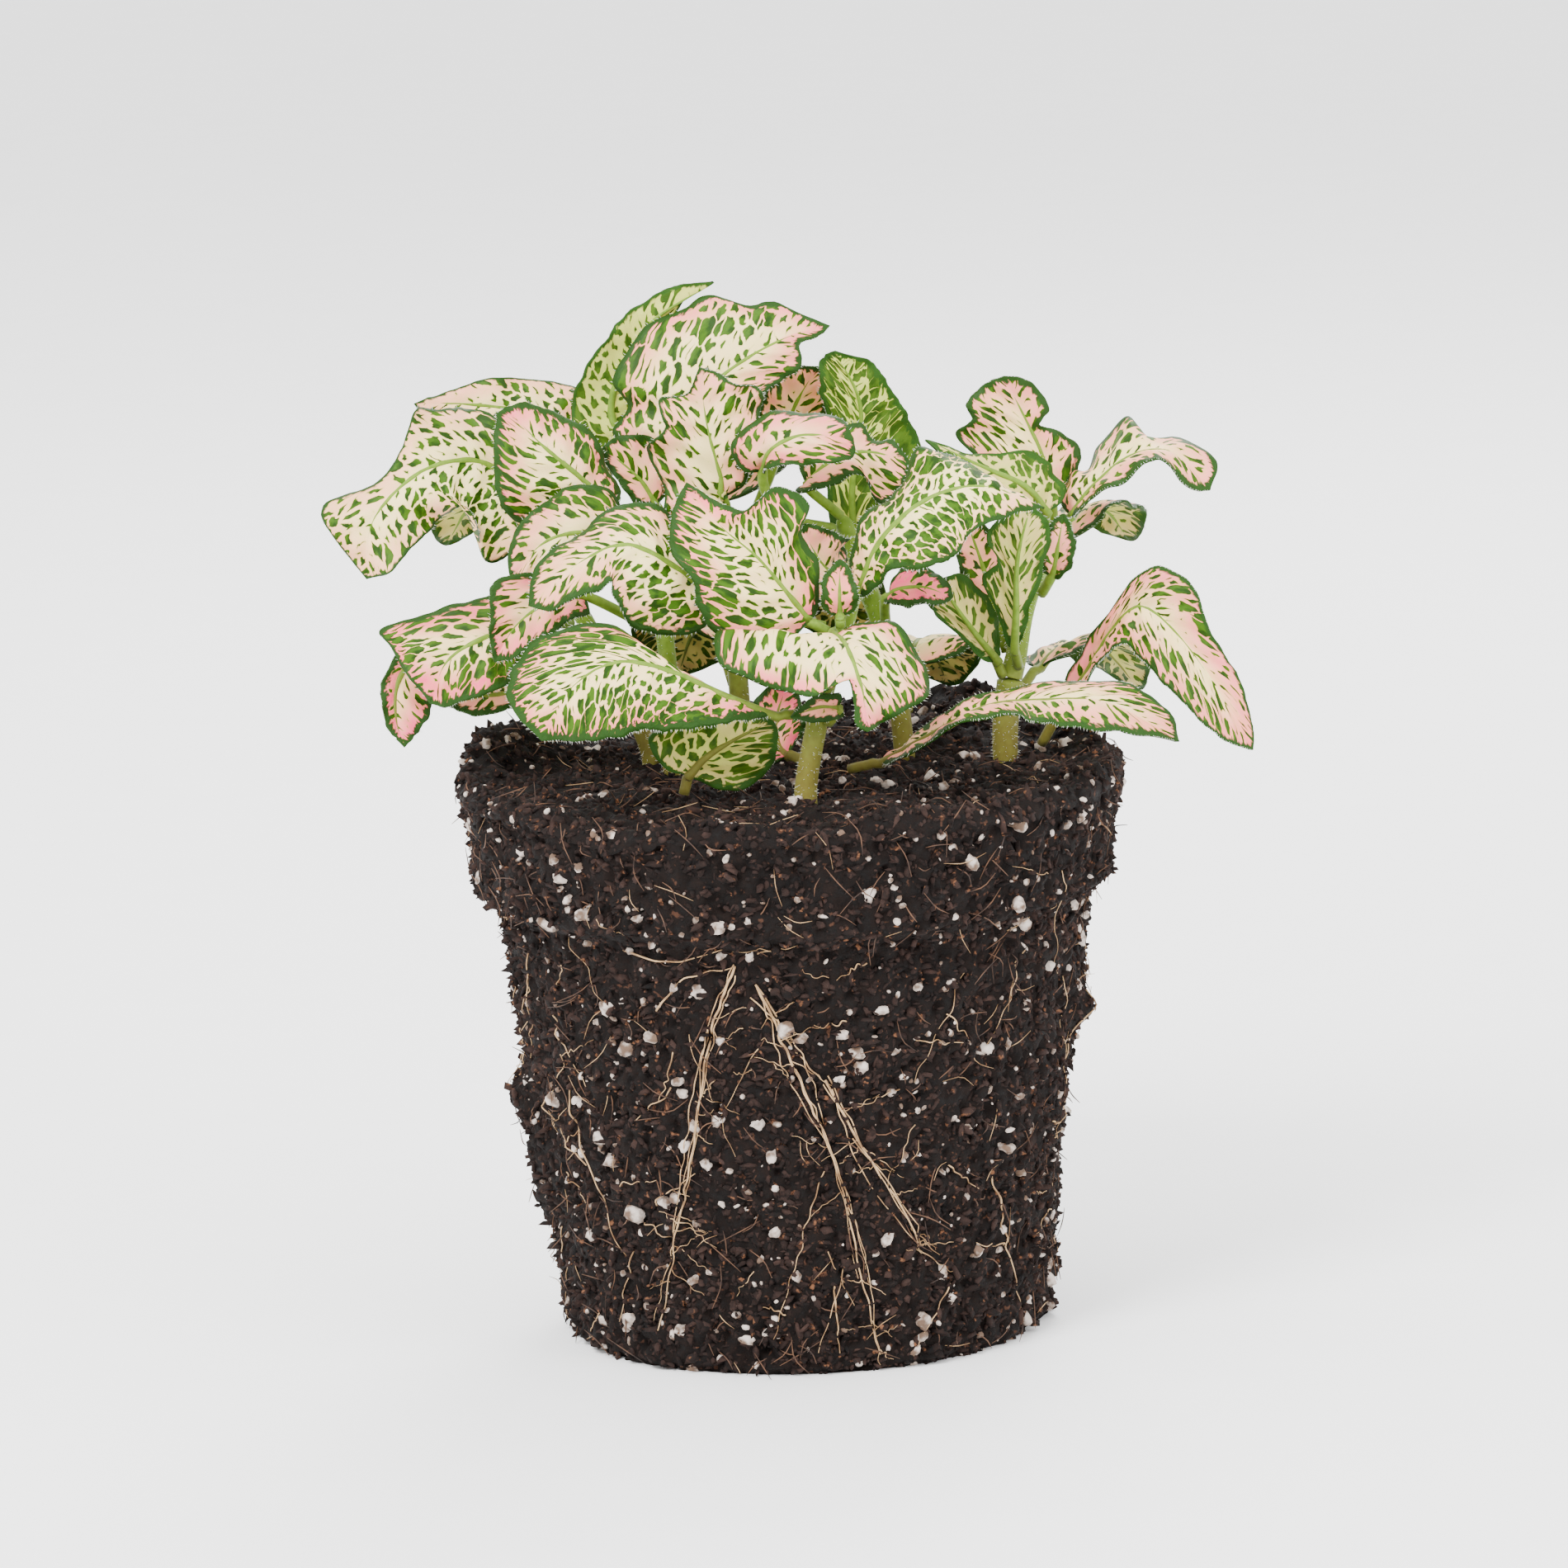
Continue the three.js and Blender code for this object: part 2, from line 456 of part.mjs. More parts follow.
function tube(points, radius, sides, steps) {
  const section = new THREE.Shape();
  for (let i = 0; i < sides; i += 1) {
    const angle = (i / sides) * 2 * Math.PI;
    const place = [radius * Math.cos(angle), radius * Math.sin(angle)];
    if (i === 0) section.moveTo(...place);
    else section.lineTo(...place);
  }
  const extrudePath = curveThrough(points);
  return new THREE.ExtrudeGeometry(section, { steps, extrudePath, bevelEnabled: false });
}

// ---- Root ball ----

const BAND_BOTTOM = BALL_HEIGHT - RIM_BAND;
const BALL_SIDE = [
  [FOOT_RADIUS - FOOT_ROUND, 0],
  [FOOT_RADIUS, FOOT_ROUND],
  [WAIST_RADIUS, BAND_BOTTOM - SHOULDER],
  [RIM_RADIUS - BAND_DRAFT, BAND_BOTTOM],
  [RIM_RADIUS, BALL_HEIGHT - EDGE_ROUND],
  [RIM_RADIUS - EDGE_ROUND, BALL_HEIGHT],
];

// Radius of the ball's side at a height
function sideRadius(height) {
  const upper = Math.max(1, BALL_SIDE.findIndex(([, z]) => z >= height));
  const [r0, z0] = BALL_SIDE[upper - 1];
  const [r1, z1] = BALL_SIDE[upper];
  return r0 + ((r1 - r0) * (height - z0)) / (z1 - z0);
}

const wasm = await Module();
wasm.setup();

function toSolid(geometry) {
  const bare = geometry.clone();
  bare.deleteAttribute("normal");
  bare.deleteAttribute("uv");
  const merged = mergeVertices(bare);
  const vertProperties = new Float32Array(merged.attributes.position.array);
  const triVerts = new Uint32Array(merged.index.array);
  return new wasm.Manifold(new wasm.Mesh({ numProp: 3, vertProperties, triVerts }));
}

function toGeometry(solid) {
  const mesh = solid.getMesh();
  const geometry = new THREE.BufferGeometry();
  geometry.setAttribute("position", new THREE.BufferAttribute(mesh.vertProperties, 3));
  geometry.setIndex(new THREE.BufferAttribute(mesh.triVerts, 1));
  return geometry;
}

function rootBall() {
  const profile = [
    [0, 0],
    ...BALL_SIDE,
    [RIM_RADIUS - SOIL_LIP, BALL_HEIGHT - SOIL_DISH],
    [0, BALL_HEIGHT - SOIL_DISH],
  ];
  const lathe = new THREE.LatheGeometry(profile.map(([r, z]) => new THREE.Vector2(r, z)), BALL_SEGMENTS);
  lathe.rotateX(Math.PI / 2);
  let solid = toSolid(lathe);
  for (const { radius, path } of Object.values(STEMS)) {
    const foot = vector([path[0][0], path[0][1], BALL_HEIGHT - SOCKET_DEPTH - CLEARANCE]);
    const socket = tube([foot, ...path.slice(0, 2).map(onSoil)], radius + CLEARANCE, STEM_SIDES, STEM_STEPS);
    solid = solid.subtract(toSolid(socket));
  }
  return toGeometry(solid);
}

add("root_ball", rootBall(), COLOURS.soil, 0.95);

// ---- Stems ----

for (const [name, { radius, path }] of Object.entries(STEMS)) {
  const foot = vector([path[0][0], path[0][1], BALL_HEIGHT - SOCKET_DEPTH]);
  const stem = tube([foot, ...path.map(onSoil)], radius, STEM_SIDES, STEM_STEPS + 1);
  add(`stem_${name}`, stem, COLOURS.stem, 0.6);
}
const branch = tube(BRANCH.path.map(onSoil), BRANCH.radius, STEM_SIDES, STEM_STEPS);
add("stem_right_branch", branch, COLOURS.stem, 0.6);

// ---- Leaves ----

// Width of a plain blade at a share of its length, as a share of the greatest width
function outline(share) {
  const { rise, fall } = BROADEST;
  const broadest = rise / (rise + fall);
  const greatest = broadest ** rise * (1 - broadest) ** fall;
  return (share ** rise * (1 - share) ** fall) / greatest;
}

// The blade of a plain leaf, as the three curves that a shaped one is given by
function plainCurves({ path, stalk, half, face, left, right }) {
  const midrib = curveThrough(path.map(onSoil));
  const [footFace, tipFace] = face.map(vector);
  const along = (share) => stalk + (1 - stalk) * share;
  const margin = (side, width, [rise, curl]) => (share) => {
    const forward = midrib.getTangent(along(share));
    const up = footFace.clone().lerp(tipFace, share);
    up.addScaledVector(forward, -up.dot(forward)).normalize();
    const across = new THREE.Vector3().crossVectors(forward, up);
    const bend = radians(rise + curl / 2);
    const spread = width * outline(share);
    const place = midrib.getPoint(along(share)).addScaledVector(across, side * spread * Math.cos(bend));
    return place.addScaledVector(up, spread * Math.sin(bend));
  };
  return {
    foot: [0, stalk / 2, stalk].map((share) => midrib.getPoint(share)),
    middle: (share) => midrib.getPoint(along(share)),
    leftEdge: margin(-1, half[0], left),
    rightEdge: margin(1, half[1], right),
  };
}

function shapedCurves({ stalk, mid, left, right }) {
  const [first, last] = [mid[0], mid[mid.length - 1]];
  const smooth = (points) => {
    const curve = curveThrough(points.map(inSight));
    return (share) => curve.getPoint(share);
  };
  const middle = smooth(mid);
  const leftEdge = smooth([first, ...left, last]);
  const rightEdge = smooth([first, ...right, last]);
  return { foot: [...stalk, first].map(inSight), middle, leftEdge, rightEdge };
}

// One section of a leaf: eight points round it, from its middle line, its two edges and its thickness
function leafSection(centre, edges, up, thickness, arch) {
  const lift = up.clone().multiplyScalar(thickness / 2);
  const [leftMiddle, rightMiddle] = edges.map((edge) => {
    const between = centre.clone().lerp(edge, 0.5);
    return between.addScaledVector(up, arch * centre.distanceTo(edge));
  });
  const [leftEdge, rightEdge] = edges;
  return [
    rightEdge, rightMiddle.clone().sub(lift), centre.clone().sub(lift), leftMiddle.clone().sub(lift),
    leftEdge, leftMiddle.clone().add(lift), centre.clone().add(lift), rightMiddle.clone().add(lift),
  ];
}

function leaf({ foot, middle, leftEdge, rightEdge }) {
  const sections = [];
  const upAt = (share) => {
    const forward = middle(share + SHORT_STEP).sub(middle(share - SHORT_STEP));
    const across = rightEdge(share).sub(leftEdge(share));
    return across.cross(forward).normalize();
  };
  const flatSection = (centre, across, up, halfWidth, thickness) => {
    const edges = [-1, 1].map((side) => centre.clone().addScaledVector(across, side * halfWidth));
    return leafSection(centre, edges, up, thickness, 0);
  };
  const stalk = curveThrough([...foot, middle(RUN_ON)]);
  for (let i = 0; i < STALK_SECTIONS; i += 1) {
    const along = ((foot.length - 1) / foot.length) * (i / STALK_SECTIONS);
    const forward = stalk.getTangent(along);
    const across = forward.clone().cross(upAt(FIRST_SHARE)).normalize();
    const up = across.clone().cross(forward);
    sections.push(flatSection(stalk.getPoint(along), across, up, PETIOLE_HALF_WIDTH, PETIOLE_THICKNESS));
  }
  for (let i = 0; i < BLADE_SECTIONS; i += 1) {
    const share = FIRST_SHARE + ((LAST_SHARE - FIRST_SHARE) * i) / (BLADE_SECTIONS - 1);
    const edges = [leftEdge(share), rightEdge(share)];
    sections.push(leafSection(middle(share), edges, upAt(share), LEAF_THICKNESS, BLADE_ARCH));
  }
  return new THREE.BufferGeometry().copy(new LoftGeometry(sections, { capStart: true, capEnd: true }));
}

for (const [name, row] of Object.entries(SHAPED_LEAVES)) {
  add(name, leaf(shapedCurves(row)), COLOURS.leaf, 0.5);
}
for (const [name, row] of Object.entries(PLAIN_LEAVES)) {
  add(name, leaf(plainCurves(row)), COLOURS.leaf, 0.5);
}

// ---- Roots ----

for (const [name, route] of Object.entries(ROOTS)) {
  const points = route.map(([bearing, height]) => {
    const radius = sideRadius(height) + CLEARANCE + ROOT_RADIUS;
    const angle = radians(bearing);
    return vector([radius * Math.sin(angle), -radius * Math.cos(angle), height]);
  });
  add(name, tube(points, ROOT_RADIUS, ROOT_SIDES, ROOT_STEPS), COLOURS.root, 0.8);
}

export default plant;
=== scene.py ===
"""A nerve plant with its bare root ball: folded leaves with their vein net, hairy stems, and a
crumbly plug of peat potting mix with perlite and surface roots. Places are in millimetres in the
tables below and become metres as each mesh is made. The front faces -Y and +Z is up."""
import math
import random

import bmesh
import bpy
import numpy as np
from mathutils import Matrix, Vector, noise


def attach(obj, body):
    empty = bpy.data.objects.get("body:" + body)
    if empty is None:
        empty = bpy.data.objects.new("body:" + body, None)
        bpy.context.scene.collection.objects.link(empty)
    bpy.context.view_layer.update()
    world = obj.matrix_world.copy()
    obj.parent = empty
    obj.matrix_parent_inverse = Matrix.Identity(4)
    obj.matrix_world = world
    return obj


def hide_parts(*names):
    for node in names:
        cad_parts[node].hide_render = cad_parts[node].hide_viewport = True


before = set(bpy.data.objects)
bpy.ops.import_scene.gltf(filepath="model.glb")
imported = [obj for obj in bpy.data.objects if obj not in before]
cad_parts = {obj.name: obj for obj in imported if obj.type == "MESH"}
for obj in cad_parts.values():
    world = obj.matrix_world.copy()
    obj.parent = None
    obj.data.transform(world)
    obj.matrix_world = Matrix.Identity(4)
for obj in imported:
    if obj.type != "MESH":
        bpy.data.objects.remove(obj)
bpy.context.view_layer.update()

MM = 0.001
BODY = "root"

# ---- Sizes, in millimetres ----

BALL_HEIGHT = 98.0
FOOT_RADIUS = 41.0
WAIST_RADIUS = 50.0
RIM_RADIUS = 57.0
BAND_BOTTOM = 78.0  # lower edge of the wide band at the ball's top
SHOULDER = 3.5
BAND_DRAFT = 3.0
SOIL_LEVEL = 95.5

LEAF_THICKNESS = 0.42
PETIOLE_RADIUS = 0.95
SIDE_VEIN_PITCH = 5.2  # between one side vein and the next
VEIN_SLANT = 0.75  # how far a side vein runs forward for each millimetre outwards
CELL_ACROSS = 1.75  # green islands between the veins
CELL_ALONG = 2.5
CELL_MIX = 0.26  # how much the green islands differ in size
MARGIN_BAND = 1.2  # green rim of a blade
HAIR_LENGTH = 0.6
HAIRS_PER_MM = 2.2  # along a leaf
BULGE = 0.05  # how far a half blade bellies out, as a share of its width
SCALLOPS_PER_MM = 0.36
TEETH_PER_MM = 1.1
STALK_OVERRUN = 1.2  # petioles run on towards their stem

# ---- Fineness of the meshes, and how many of each small thing ----

LEAF_ROWS, LEAF_COLUMNS = 84, 34
STEM_SIDES, STEM_STEPS = 20, 60
BALL_COLUMNS, BALL_ROWS = 430, 200
CRUMB_BATCHES, CRUMBS_PER_BATCH, TOP_CRUMBS = 4, 6000, 7000
LARGE_PERLITE, SMALL_PERLITE = 360, 1500
DARK_FIBRES, PALE_FIBRES, FINE_ROOTS = 900, 130, 130
HAIRS_PER_STEM = 300

# ---- Stems: radius at the soil and at the top, then points from the soil upwards ----

STEMS = {
    "stem_front": (
        2.0, 1.6, [(2.5, -25, 93), (2.6, -25, 98), (4.2, -25, 106), (6.5, -22.5, 115), (9, -18, 123.5)],
    ),
    "stem_left": (
        1.7, 1.4, [(-20, 5, 92), (-20, 5, 98), (-20, 3, 112), (-21, 2, 126), (-22, 3, 138.5)],
    ),
    "stem_far_left": (
        1.7, 1.4, [(-24, 13, 92), (-24, 13, 98), (-30, 14, 112), (-37, 11, 127), (-40, 9, 138)],
    ),
    "stem_centre": (
        1.9, 1.5, [(-8, 20, 92), (-8, 20, 98), (-9, 18, 118), (-12, 13, 136), (-15, 10, 148)],
    ),
    "stem_centre_right": (
        1.9, 1.5, [(19.5, 10, 92), (19.5, 10, 98), (18, 9, 112), (14, 8, 126), (10, 8, 138)],
    ),
    "stem_right": (
        2.1, 2.3, [(36.7, 5, 92), (36.7, 5, 98), (37, 5, 103), (38, 5.3, 109.5)],
    ),
    "stem_right_branch": (
        2.0, 1.4, [(38, 5.3, 109.5), (39, 5.8, 113), (40.5, 7, 120), (43, 8, 127), (45.5, 7.5, 133.5)],
    ),
}

# ---- Leaves seen from the front ----
# stalk: points from the stem to the blade's foot
# mid: points along the midrib, from the blade's foot to its tip
# left, right: points along each margin, looking from the foot to the tip with the upper side up
# A point is (x, y, sight height): its height where the line of sight from in front crosses y = 0.

SIGHT_SLOPE = 0.194  # the line of sight falls by this much for each millimetre towards the back

SHAPED_LEAVES = {
    "leaf_front_left": {
        "stalk": [(2, -27.5, 105.2)],
        "mid": [
            (-1.5, -29, 105.4), (-10, -34, 109), (-19, -38, 113.2), (-28, -41, 115),
            (-36, -42, 110.5), (-41, -41, 102),
        ],
        "left": [
            (-6, -33, 104.6), (-13, -37, 103.8), (-20, -40, 103), (-24, -41, 103.3),
            (-28, -41, 102.4), (-35, -41, 101.8),
        ],
        "right": [
            (-9, -30, 107.5), (-18, -32, 112.5), (-28, -35, 120.4), (-39, -38, 120),
            (-45, -39, 115.5), (-46.2, -40, 109),
        ],
    },
    "leaf_front_low": {
        "stalk": [(7.8, -24, 117)],
        "mid": [(8, -27, 119), (9.5, -33, 117.5), (11, -38, 114), (12.5, -41, 108), (13, -41, 101.7)],
        "left": [
            (13, -27, 119.5), (20, -29, 118.5), (23.5, -33, 113), (22.8, -36, 107.5), (19, -38, 105),
            (15.5, -40, 102.8),
        ],
        "right": [
            (3, -27, 119), (-4, -29, 117.8), (-11.5, -31, 118), (-11, -36, 114), (-6.5, -38, 112),
            (-1, -39, 110.3), (4.5, -40, 107.8), (8.5, -39, 111.2), (10.3, -39, 111.5), (10.6, -41, 107),
            (11.3, -42, 102.8),
        ],
    },
    "leaf_front_small": {
        "stalk": [(7.2, -26.5, 104.2)],
        "mid": [(8.5, -28, 106), (5, -30, 106.2), (0.4, -31, 104.6)],
        "left": [(9.5, -28, 104.5), (6, -30, 103.6), (2.5, -31, 103.8)],
        "right": [(9, -29, 108), (5, -30, 108), (2, -31, 106.4)],
    },
    "leaf_front_middle": {
        "stalk": [(6.3, -20.3, 119.6)],
        "mid": [
            (4.3, -21.5, 120.9), (0.4, -23, 126), (-4.3, -24, 132), (-10.2, -24, 137.5),
            (-15.7, -21, 145.2),
        ],
        "left": [
            (0, -22, 117.6), (-6, -24, 117), (-11, -26, 119), (-14.4, -27, 124), (-15, -27, 128),
            (-18.6, -26, 133), (-18.6, -25, 138), (-17.5, -23, 142),
        ],
        "right": [
            (5.5, -21, 123), (5.8, -22, 130.7), (3.2, -25, 136), (4.3, -28, 140), (-0.3, -28, 144),
            (-4, -27, 141.5), (-7, -25, 140), (-11, -23, 142),
        ],
    },
    "leaf_left_front": {
        "stalk": [(5.5, -14.5, 120.4), (-5, -15.5, 123)],
        "mid": [(-12, -19, 125.5), (-18, -22.5, 131), (-26, -26, 135), (-34, -28, 132), (-42.7, -27, 125)],
        "left": [
            (-13, -20, 121), (-17, -23, 119.2), (-22, -25, 119.7), (-26, -28, 121.5), (-28.5, -30, 126),
            (-28.6, -31, 128.8), (-31, -31, 127.4), (-35, -31, 126), (-39, -29, 124),
        ],
        "right": [
            (-12, -17.5, 131), (-17, -18.5, 138), (-23, -19, 142), (-29.6, -21, 140.6), (-34.5, -23, 137),
            (-38.7, -25, 134), (-42, -26, 129.5),
        ],
    },
    "leaf_left_middle": {
        "stalk": [(-24.2, 0.5, 134)],
        "mid": [(-27, -5, 135), (-33, -10, 137.5), (-40, -12, 136), (-46, -12, 129.5)],
        "left": [(-28, -8, 131), (-33, -12, 130), (-39, -14, 128.5), (-44, -14, 127)],
        "right": [
            (-26, -4, 140), (-29, -4, 144.5), (-35, -6, 145.6), (-39, -8, 143.5), (-43, -10, 140.5),
            (-46, -11, 135),
        ],
    },
    "leaf_left_low": {
        "stalk": [(-23, -0.5, 121), (-28, -7, 124)],
        "mid": [(-33, -12, 126.5), (-39, -15, 126), (-45, -17, 122), (-49, -17, 115.8)],
        "left": [
            (-33, -13, 123.5), (-36, -16, 122.6), (-39, -18, 120.4), (-42.5, -18, 118), (-46, -18, 116.4),
        ],
        "right": [
            (-36, -15, 129.5), (-42, -17.5, 131), (-47.8, -18, 129.7), (-49.3, -18, 125), (-49.6, -18, 120),
        ],
    },
    "leaf_left_pink": {
        "stalk": [(-37, 8, 122.5)],
        "mid": [(-43, -3, 122), (-50, -8, 120.5), (-57, -9, 116.5), (-60.3, -9, 109.2)],
        "left": [(-43, -5, 117.5), (-45, -8, 113.5), (-48, -10, 111.5), (-54, -11, 109.5), (-58, -11, 108.6)],
        "right": [
            (-44, -2, 126.3), (-49, -3, 127.8), (-55.4, -4, 125.8), (-61, -4, 124.4), (-68.5, -5, 122.3),
            (-66.6, -6, 119), (-63.6, -8, 114),
        ],
    },
    "leaf_left_hanging": {
        "stalk": [(-35.2, 11.5, 119), (-45, 8, 121.5), (-56, 4, 122)],
        "mid": [(-62, 2, 119), (-65.8, 0, 113), (-66.4, 0, 107), (-65.2, 0, 101.8)],
        "left": [(-60, 3, 116), (-59.6, 2, 111), (-61, 1, 107.5), (-62.8, 0, 104.5)],
        "right": [(-65.5, 1, 118.5), (-68.3, -1, 113.5), (-68.5, -1, 109), (-67.6, 0, 104.8)],
    },
    "leaf_left_sliver": {
        "stalk": [(-30.5, 11.2, 111.6), (-38, 5, 113)],
        "mid": [(-44, 0, 111), (-51, -2, 110.4), (-57.6, -3, 109)],
        "left": [(-45, -2, 108.5), (-50, -4, 107.2), (-55, -4, 107.6)],
        "right": [(-44, 2, 113), (-50, 1, 113), (-55, -1, 111.2)],
    },
    "leaf_left_far": {
        "stalk": [(-42.2, 9, 139.5)],
        "mid": [(-45, 8, 147.5), (-52, 6, 151), (-61, 3, 149), (-69, 1, 141), (-70.5, 1, 131)],
        "left": [
            (-44, 7, 141), (-46, 4.5, 134.6), (-50, 3.5, 133.8), (-51.4, 3, 138.5), (-53.5, 3, 143),
            (-57, 3, 141), (-61, 1, 137.6), (-66, 0, 132.4),
        ],
        "right": [
            (-45, 9.5, 153), (-50, 10, 160), (-55.5, 8, 160), (-61.4, 6, 159.6), (-64, 5, 153),
            (-69, 3, 147.5), (-77.5, 1, 143.8), (-75.5, 0, 138),
        ],
    },
    "leaf_left_folded": {
        "stalk": [(-24.3, 3, 139.8)],
        "mid": [(-28, 1.5, 141.5), (-34, -1, 147.5), (-40, -2, 153), (-46, -1, 159.6)],
        "left": [
            (-33, 1, 139), (-40, -1, 139), (-45.2, -2, 140), (-48, -3, 146), (-48, -3, 154),
            (-47.4, -2, 158),
        ],
        "right": [(-27, 3, 145), (-29.6, 3, 150.5), (-32, 3, 155), (-37, 2, 158.6), (-42, 0.5, 160.2)],
    },
    "leaf_left_upper": {
        "stalk": [(-40, 12, 140.8), (-37.5, 16, 149)],
        "mid": [(-37, 18, 155), (-44, 18, 159.5), (-53, 16.5, 161), (-61.7, 14, 161.3)],
        "left": [(-38, 16, 152), (-46, 14.5, 153), (-53, 14.5, 155), (-58.7, 14, 157.2)],
        "right": [(-34, 20, 158), (-33.5, 21, 163), (-40.6, 21, 165), (-50, 19, 165), (-57, 16.5, 163.2)],
    },
    "leaf_top_rolled": {
        "stalk": [(-17.5, 12.5, 147)],
        "mid": [(-25, 15.5, 151.5), (-28.5, 17, 159), (-25.5, 18, 168), (-20, 17, 175), (-10.3, 15, 180.6)],
        "left": [(-22, 16, 153), (-22, 18, 160), (-20, 19, 168), (-18, 18, 173.5), (-14.5, 16.5, 178.6)],
        "right": [
            (-31, 15.5, 152), (-35, 15.5, 158), (-33, 16, 165.5), (-28.5, 17, 172), (-24, 17, 176.5),
            (-17, 16, 180),
        ],
    },
    "leaf_top_large": {
        "stalk": [(-17.4, 9.3, 149.8)],
        "mid": [(-19.5, 8.5, 152), (-16, 8, 158), (-8, 8, 165), (1, 10, 170), (9.3, 12, 172.2)],
        "left": [
            (-24, 9.5, 151.5), (-28.4, 11, 155), (-25.4, 12, 159.6), (-28, 12, 164), (-24.4, 13, 170),
            (-21, 14, 174), (-15, 14, 176.5), (-11, 14, 178.3), (-5, 13, 176.2), (0, 13, 176.2),
            (6, 12, 173.6),
        ],
        "right": [
            (-17, 9, 150), (-12, 7, 152), (-6, 6, 156), (-2.8, 7, 160), (1, 8, 163), (4, 9, 165),
            (4.3, 10, 169), (7.5, 11, 170.5),
        ],
    },
    "leaf_top_behind": {
        "stalk": [(-8.6, 19.3, 131.7), (-4, 22, 142)],
        "mid": [(-1, 22, 149), (2, 22, 157), (4, 22, 161), (7, 21, 165.6)],
        "left": [(-5, 22, 151), (-4, 22, 157), (-2, 22, 162), (2, 22, 165.6)],
        "right": [(4, 22, 150), (8, 22, 155), (9, 22, 160), (9, 21, 163.5)],
    },
    "leaf_top_pale": {
        "stalk": [(-11, 9.7, 134.8)],
        "mid": [(-8.8, -0.5, 138.5), (-10, -3, 146), (-12, -4, 155), (-13, -6, 165)],
        "left": [
            (-13, 0, 137.5), (-19, -1, 140), (-20, -2, 145), (-22.3, -3, 151), (-19.2, -4, 155.5),
            (-20, -5, 159.4), (-15.5, -5, 160.5),
        ],
        "right": [
            (-8, -1, 140), (-9.6, -2, 142.5), (-6, -4, 145), (-4.4, -6, 150), (-3.2, -6, 156),
            (-3, -6, 161),
            (-8, -6, 163),
        ],
    },
    "leaf_top_small": {
        "stalk": [(-20, 5.3, 139.5)],
        "mid": [(-21, 5, 142), (-24, 5.5, 147), (-30, 6, 152.5)],
        "left": [(-24, 4.5, 142), (-27, 5, 146), (-29.5, 5.5, 149.6)],
        "right": [(-19, 5.5, 145), (-19.5, 5.5, 150), (-21.5, 6, 154.2), (-26.6, 6, 154.4)],
    },
    "leaf_middle_green": {
        "stalk": [(15.4, 12.4, 122)],
        "mid": [(13.2, 14, 127), (12, 14.5, 143), (14, 15, 158), (10, 14, 168)],
        "left": [
            (15.2, 12.8, 131), (18.6, 14, 143), (24.5, 16, 149), (22, 16, 156), (20, 15, 160),
            (16.5, 14, 165.4),
        ],
        "right": [(9.4, 14, 131), (7.6, 14, 147), (8.4, 15, 156), (7, 14, 162), (7.6, 14, 166.6)],
    },
    "leaf_middle_curled": {
        "stalk": [(7.8, 5.5, 137.4), (0, -2, 139.5)],
        "mid": [(-3.5, -8, 146.5), (-1.5, -12, 150.5), (4, -13, 152.8), (12.5, -12, 152)],
        "left": [
            (-7, -8, 148), (-8, -9, 152), (-5, -9, 154.8), (-1, -8, 156.6), (5, -8, 157.2), (10, -9, 156),
        ],
        "right": [(-2.5, -11, 147.3), (0.5, -14, 147.6), (5, -15, 147.6), (10, -14, 148), (12.6, -13, 149)],
    },
    "leaf_middle_back": {
        "stalk": [(9.2, 5.3, 140)],
        "mid": [(4, 1.5, 145), (9, 1, 149), (15, 0, 150), (22, 0, 148)],
        "left": [(3.5, 3, 149), (8, 3, 153.6), (13.7, 3, 154.8), (16, 2, 152), (19.3, 1, 151.8)],
        "right": [
            (3, -1, 143.4), (8, -2, 144.4), (12, -2, 146.3), (15, -1, 145), (15.5, -1, 142), (18, -1, 141),
            (21, -1, 144.5),
        ],
    },
    "leaf_right_large": {
        "stalk": [(10.7, -16, 120.2)],
        "mid": [(12, -17, 125), (16, -19, 134), (24, -20, 141), (34, -20, 143), (44, -18, 139)],
        "left": [
            (10.6, -16, 129), (12, -15, 134.5), (14.4, -14, 138.8), (18, -14, 141.4), (20.4, -13, 145),
            (23, -12, 150), (28, -13, 148), (36, -16, 143.8),
        ],
        "right": [
            (14, -18, 125), (16, -19.5, 127.5), (19, -20.5, 129.6), (23, -22, 129), (27, -23, 130.2),
            (29.5, -23, 132), (32, -22, 135.6), (39, -19.5, 138),
        ],
    },
    "leaf_right_long": {
        "stalk": [(11, -15, 95.8)],
        "mid": [
            (15, -17, 96.8), (24, -23, 101.5), (33, -27, 105.8), (42, -29, 106.4), (53, -29, 105.5),
            (65.2, -26, 98.4),
        ],
        "left": [
            (16, -16, 98), (22, -19, 102), (28, -22, 105.5), (35, -23, 108), (43, -24, 109.7),
            (52, -25, 109.5), (59, -25, 107), (64, -25, 102.5),
        ],
        "right": [
            (17, -20, 96.2), (22, -25, 98.8), (28, -30, 103), (33, -32, 104.2), (38, -33, 103.8),
            (41, -34, 102), (46, -33, 101.8), (53, -32, 100.8), (60, -29, 99.8),
        ],
    },
    "leaf_right_arching": {
        "stalk": [(43.5, 8, 99.8)],
        "mid": [
            (46.5, 6, 105), (51, 4, 111.5), (55, 1, 118), (60, -2, 122), (66, -5, 117), (72, -8, 108),
            (78.2, -10, 96.6),
        ],
        "left": [
            (47, 6, 109), (51, 4, 116.5), (55, 0, 121.5), (59, -3, 126.4), (63, -5, 128.2), (69, -6, 124.4),
            (72.5, -7, 116), (76, -8, 109), (78.4, -9, 101),
        ],
        "right": [
            (48, 5, 104.5), (50.5, 3, 108.5), (53.7, 0, 113), (57, -3, 115.6), (60, -6, 112.5),
            (64, -9, 108),
            (69, -11, 102), (73.5, -12, 98.4),
        ],
    },
    "leaf_right_underside": {
        "stalk": [(36.2, 3.4, 111.8)],
        "mid": [(35.5, 2.5, 113.5), (33, 0, 117), (29.5, -2, 122), (26, -2, 127.8)],
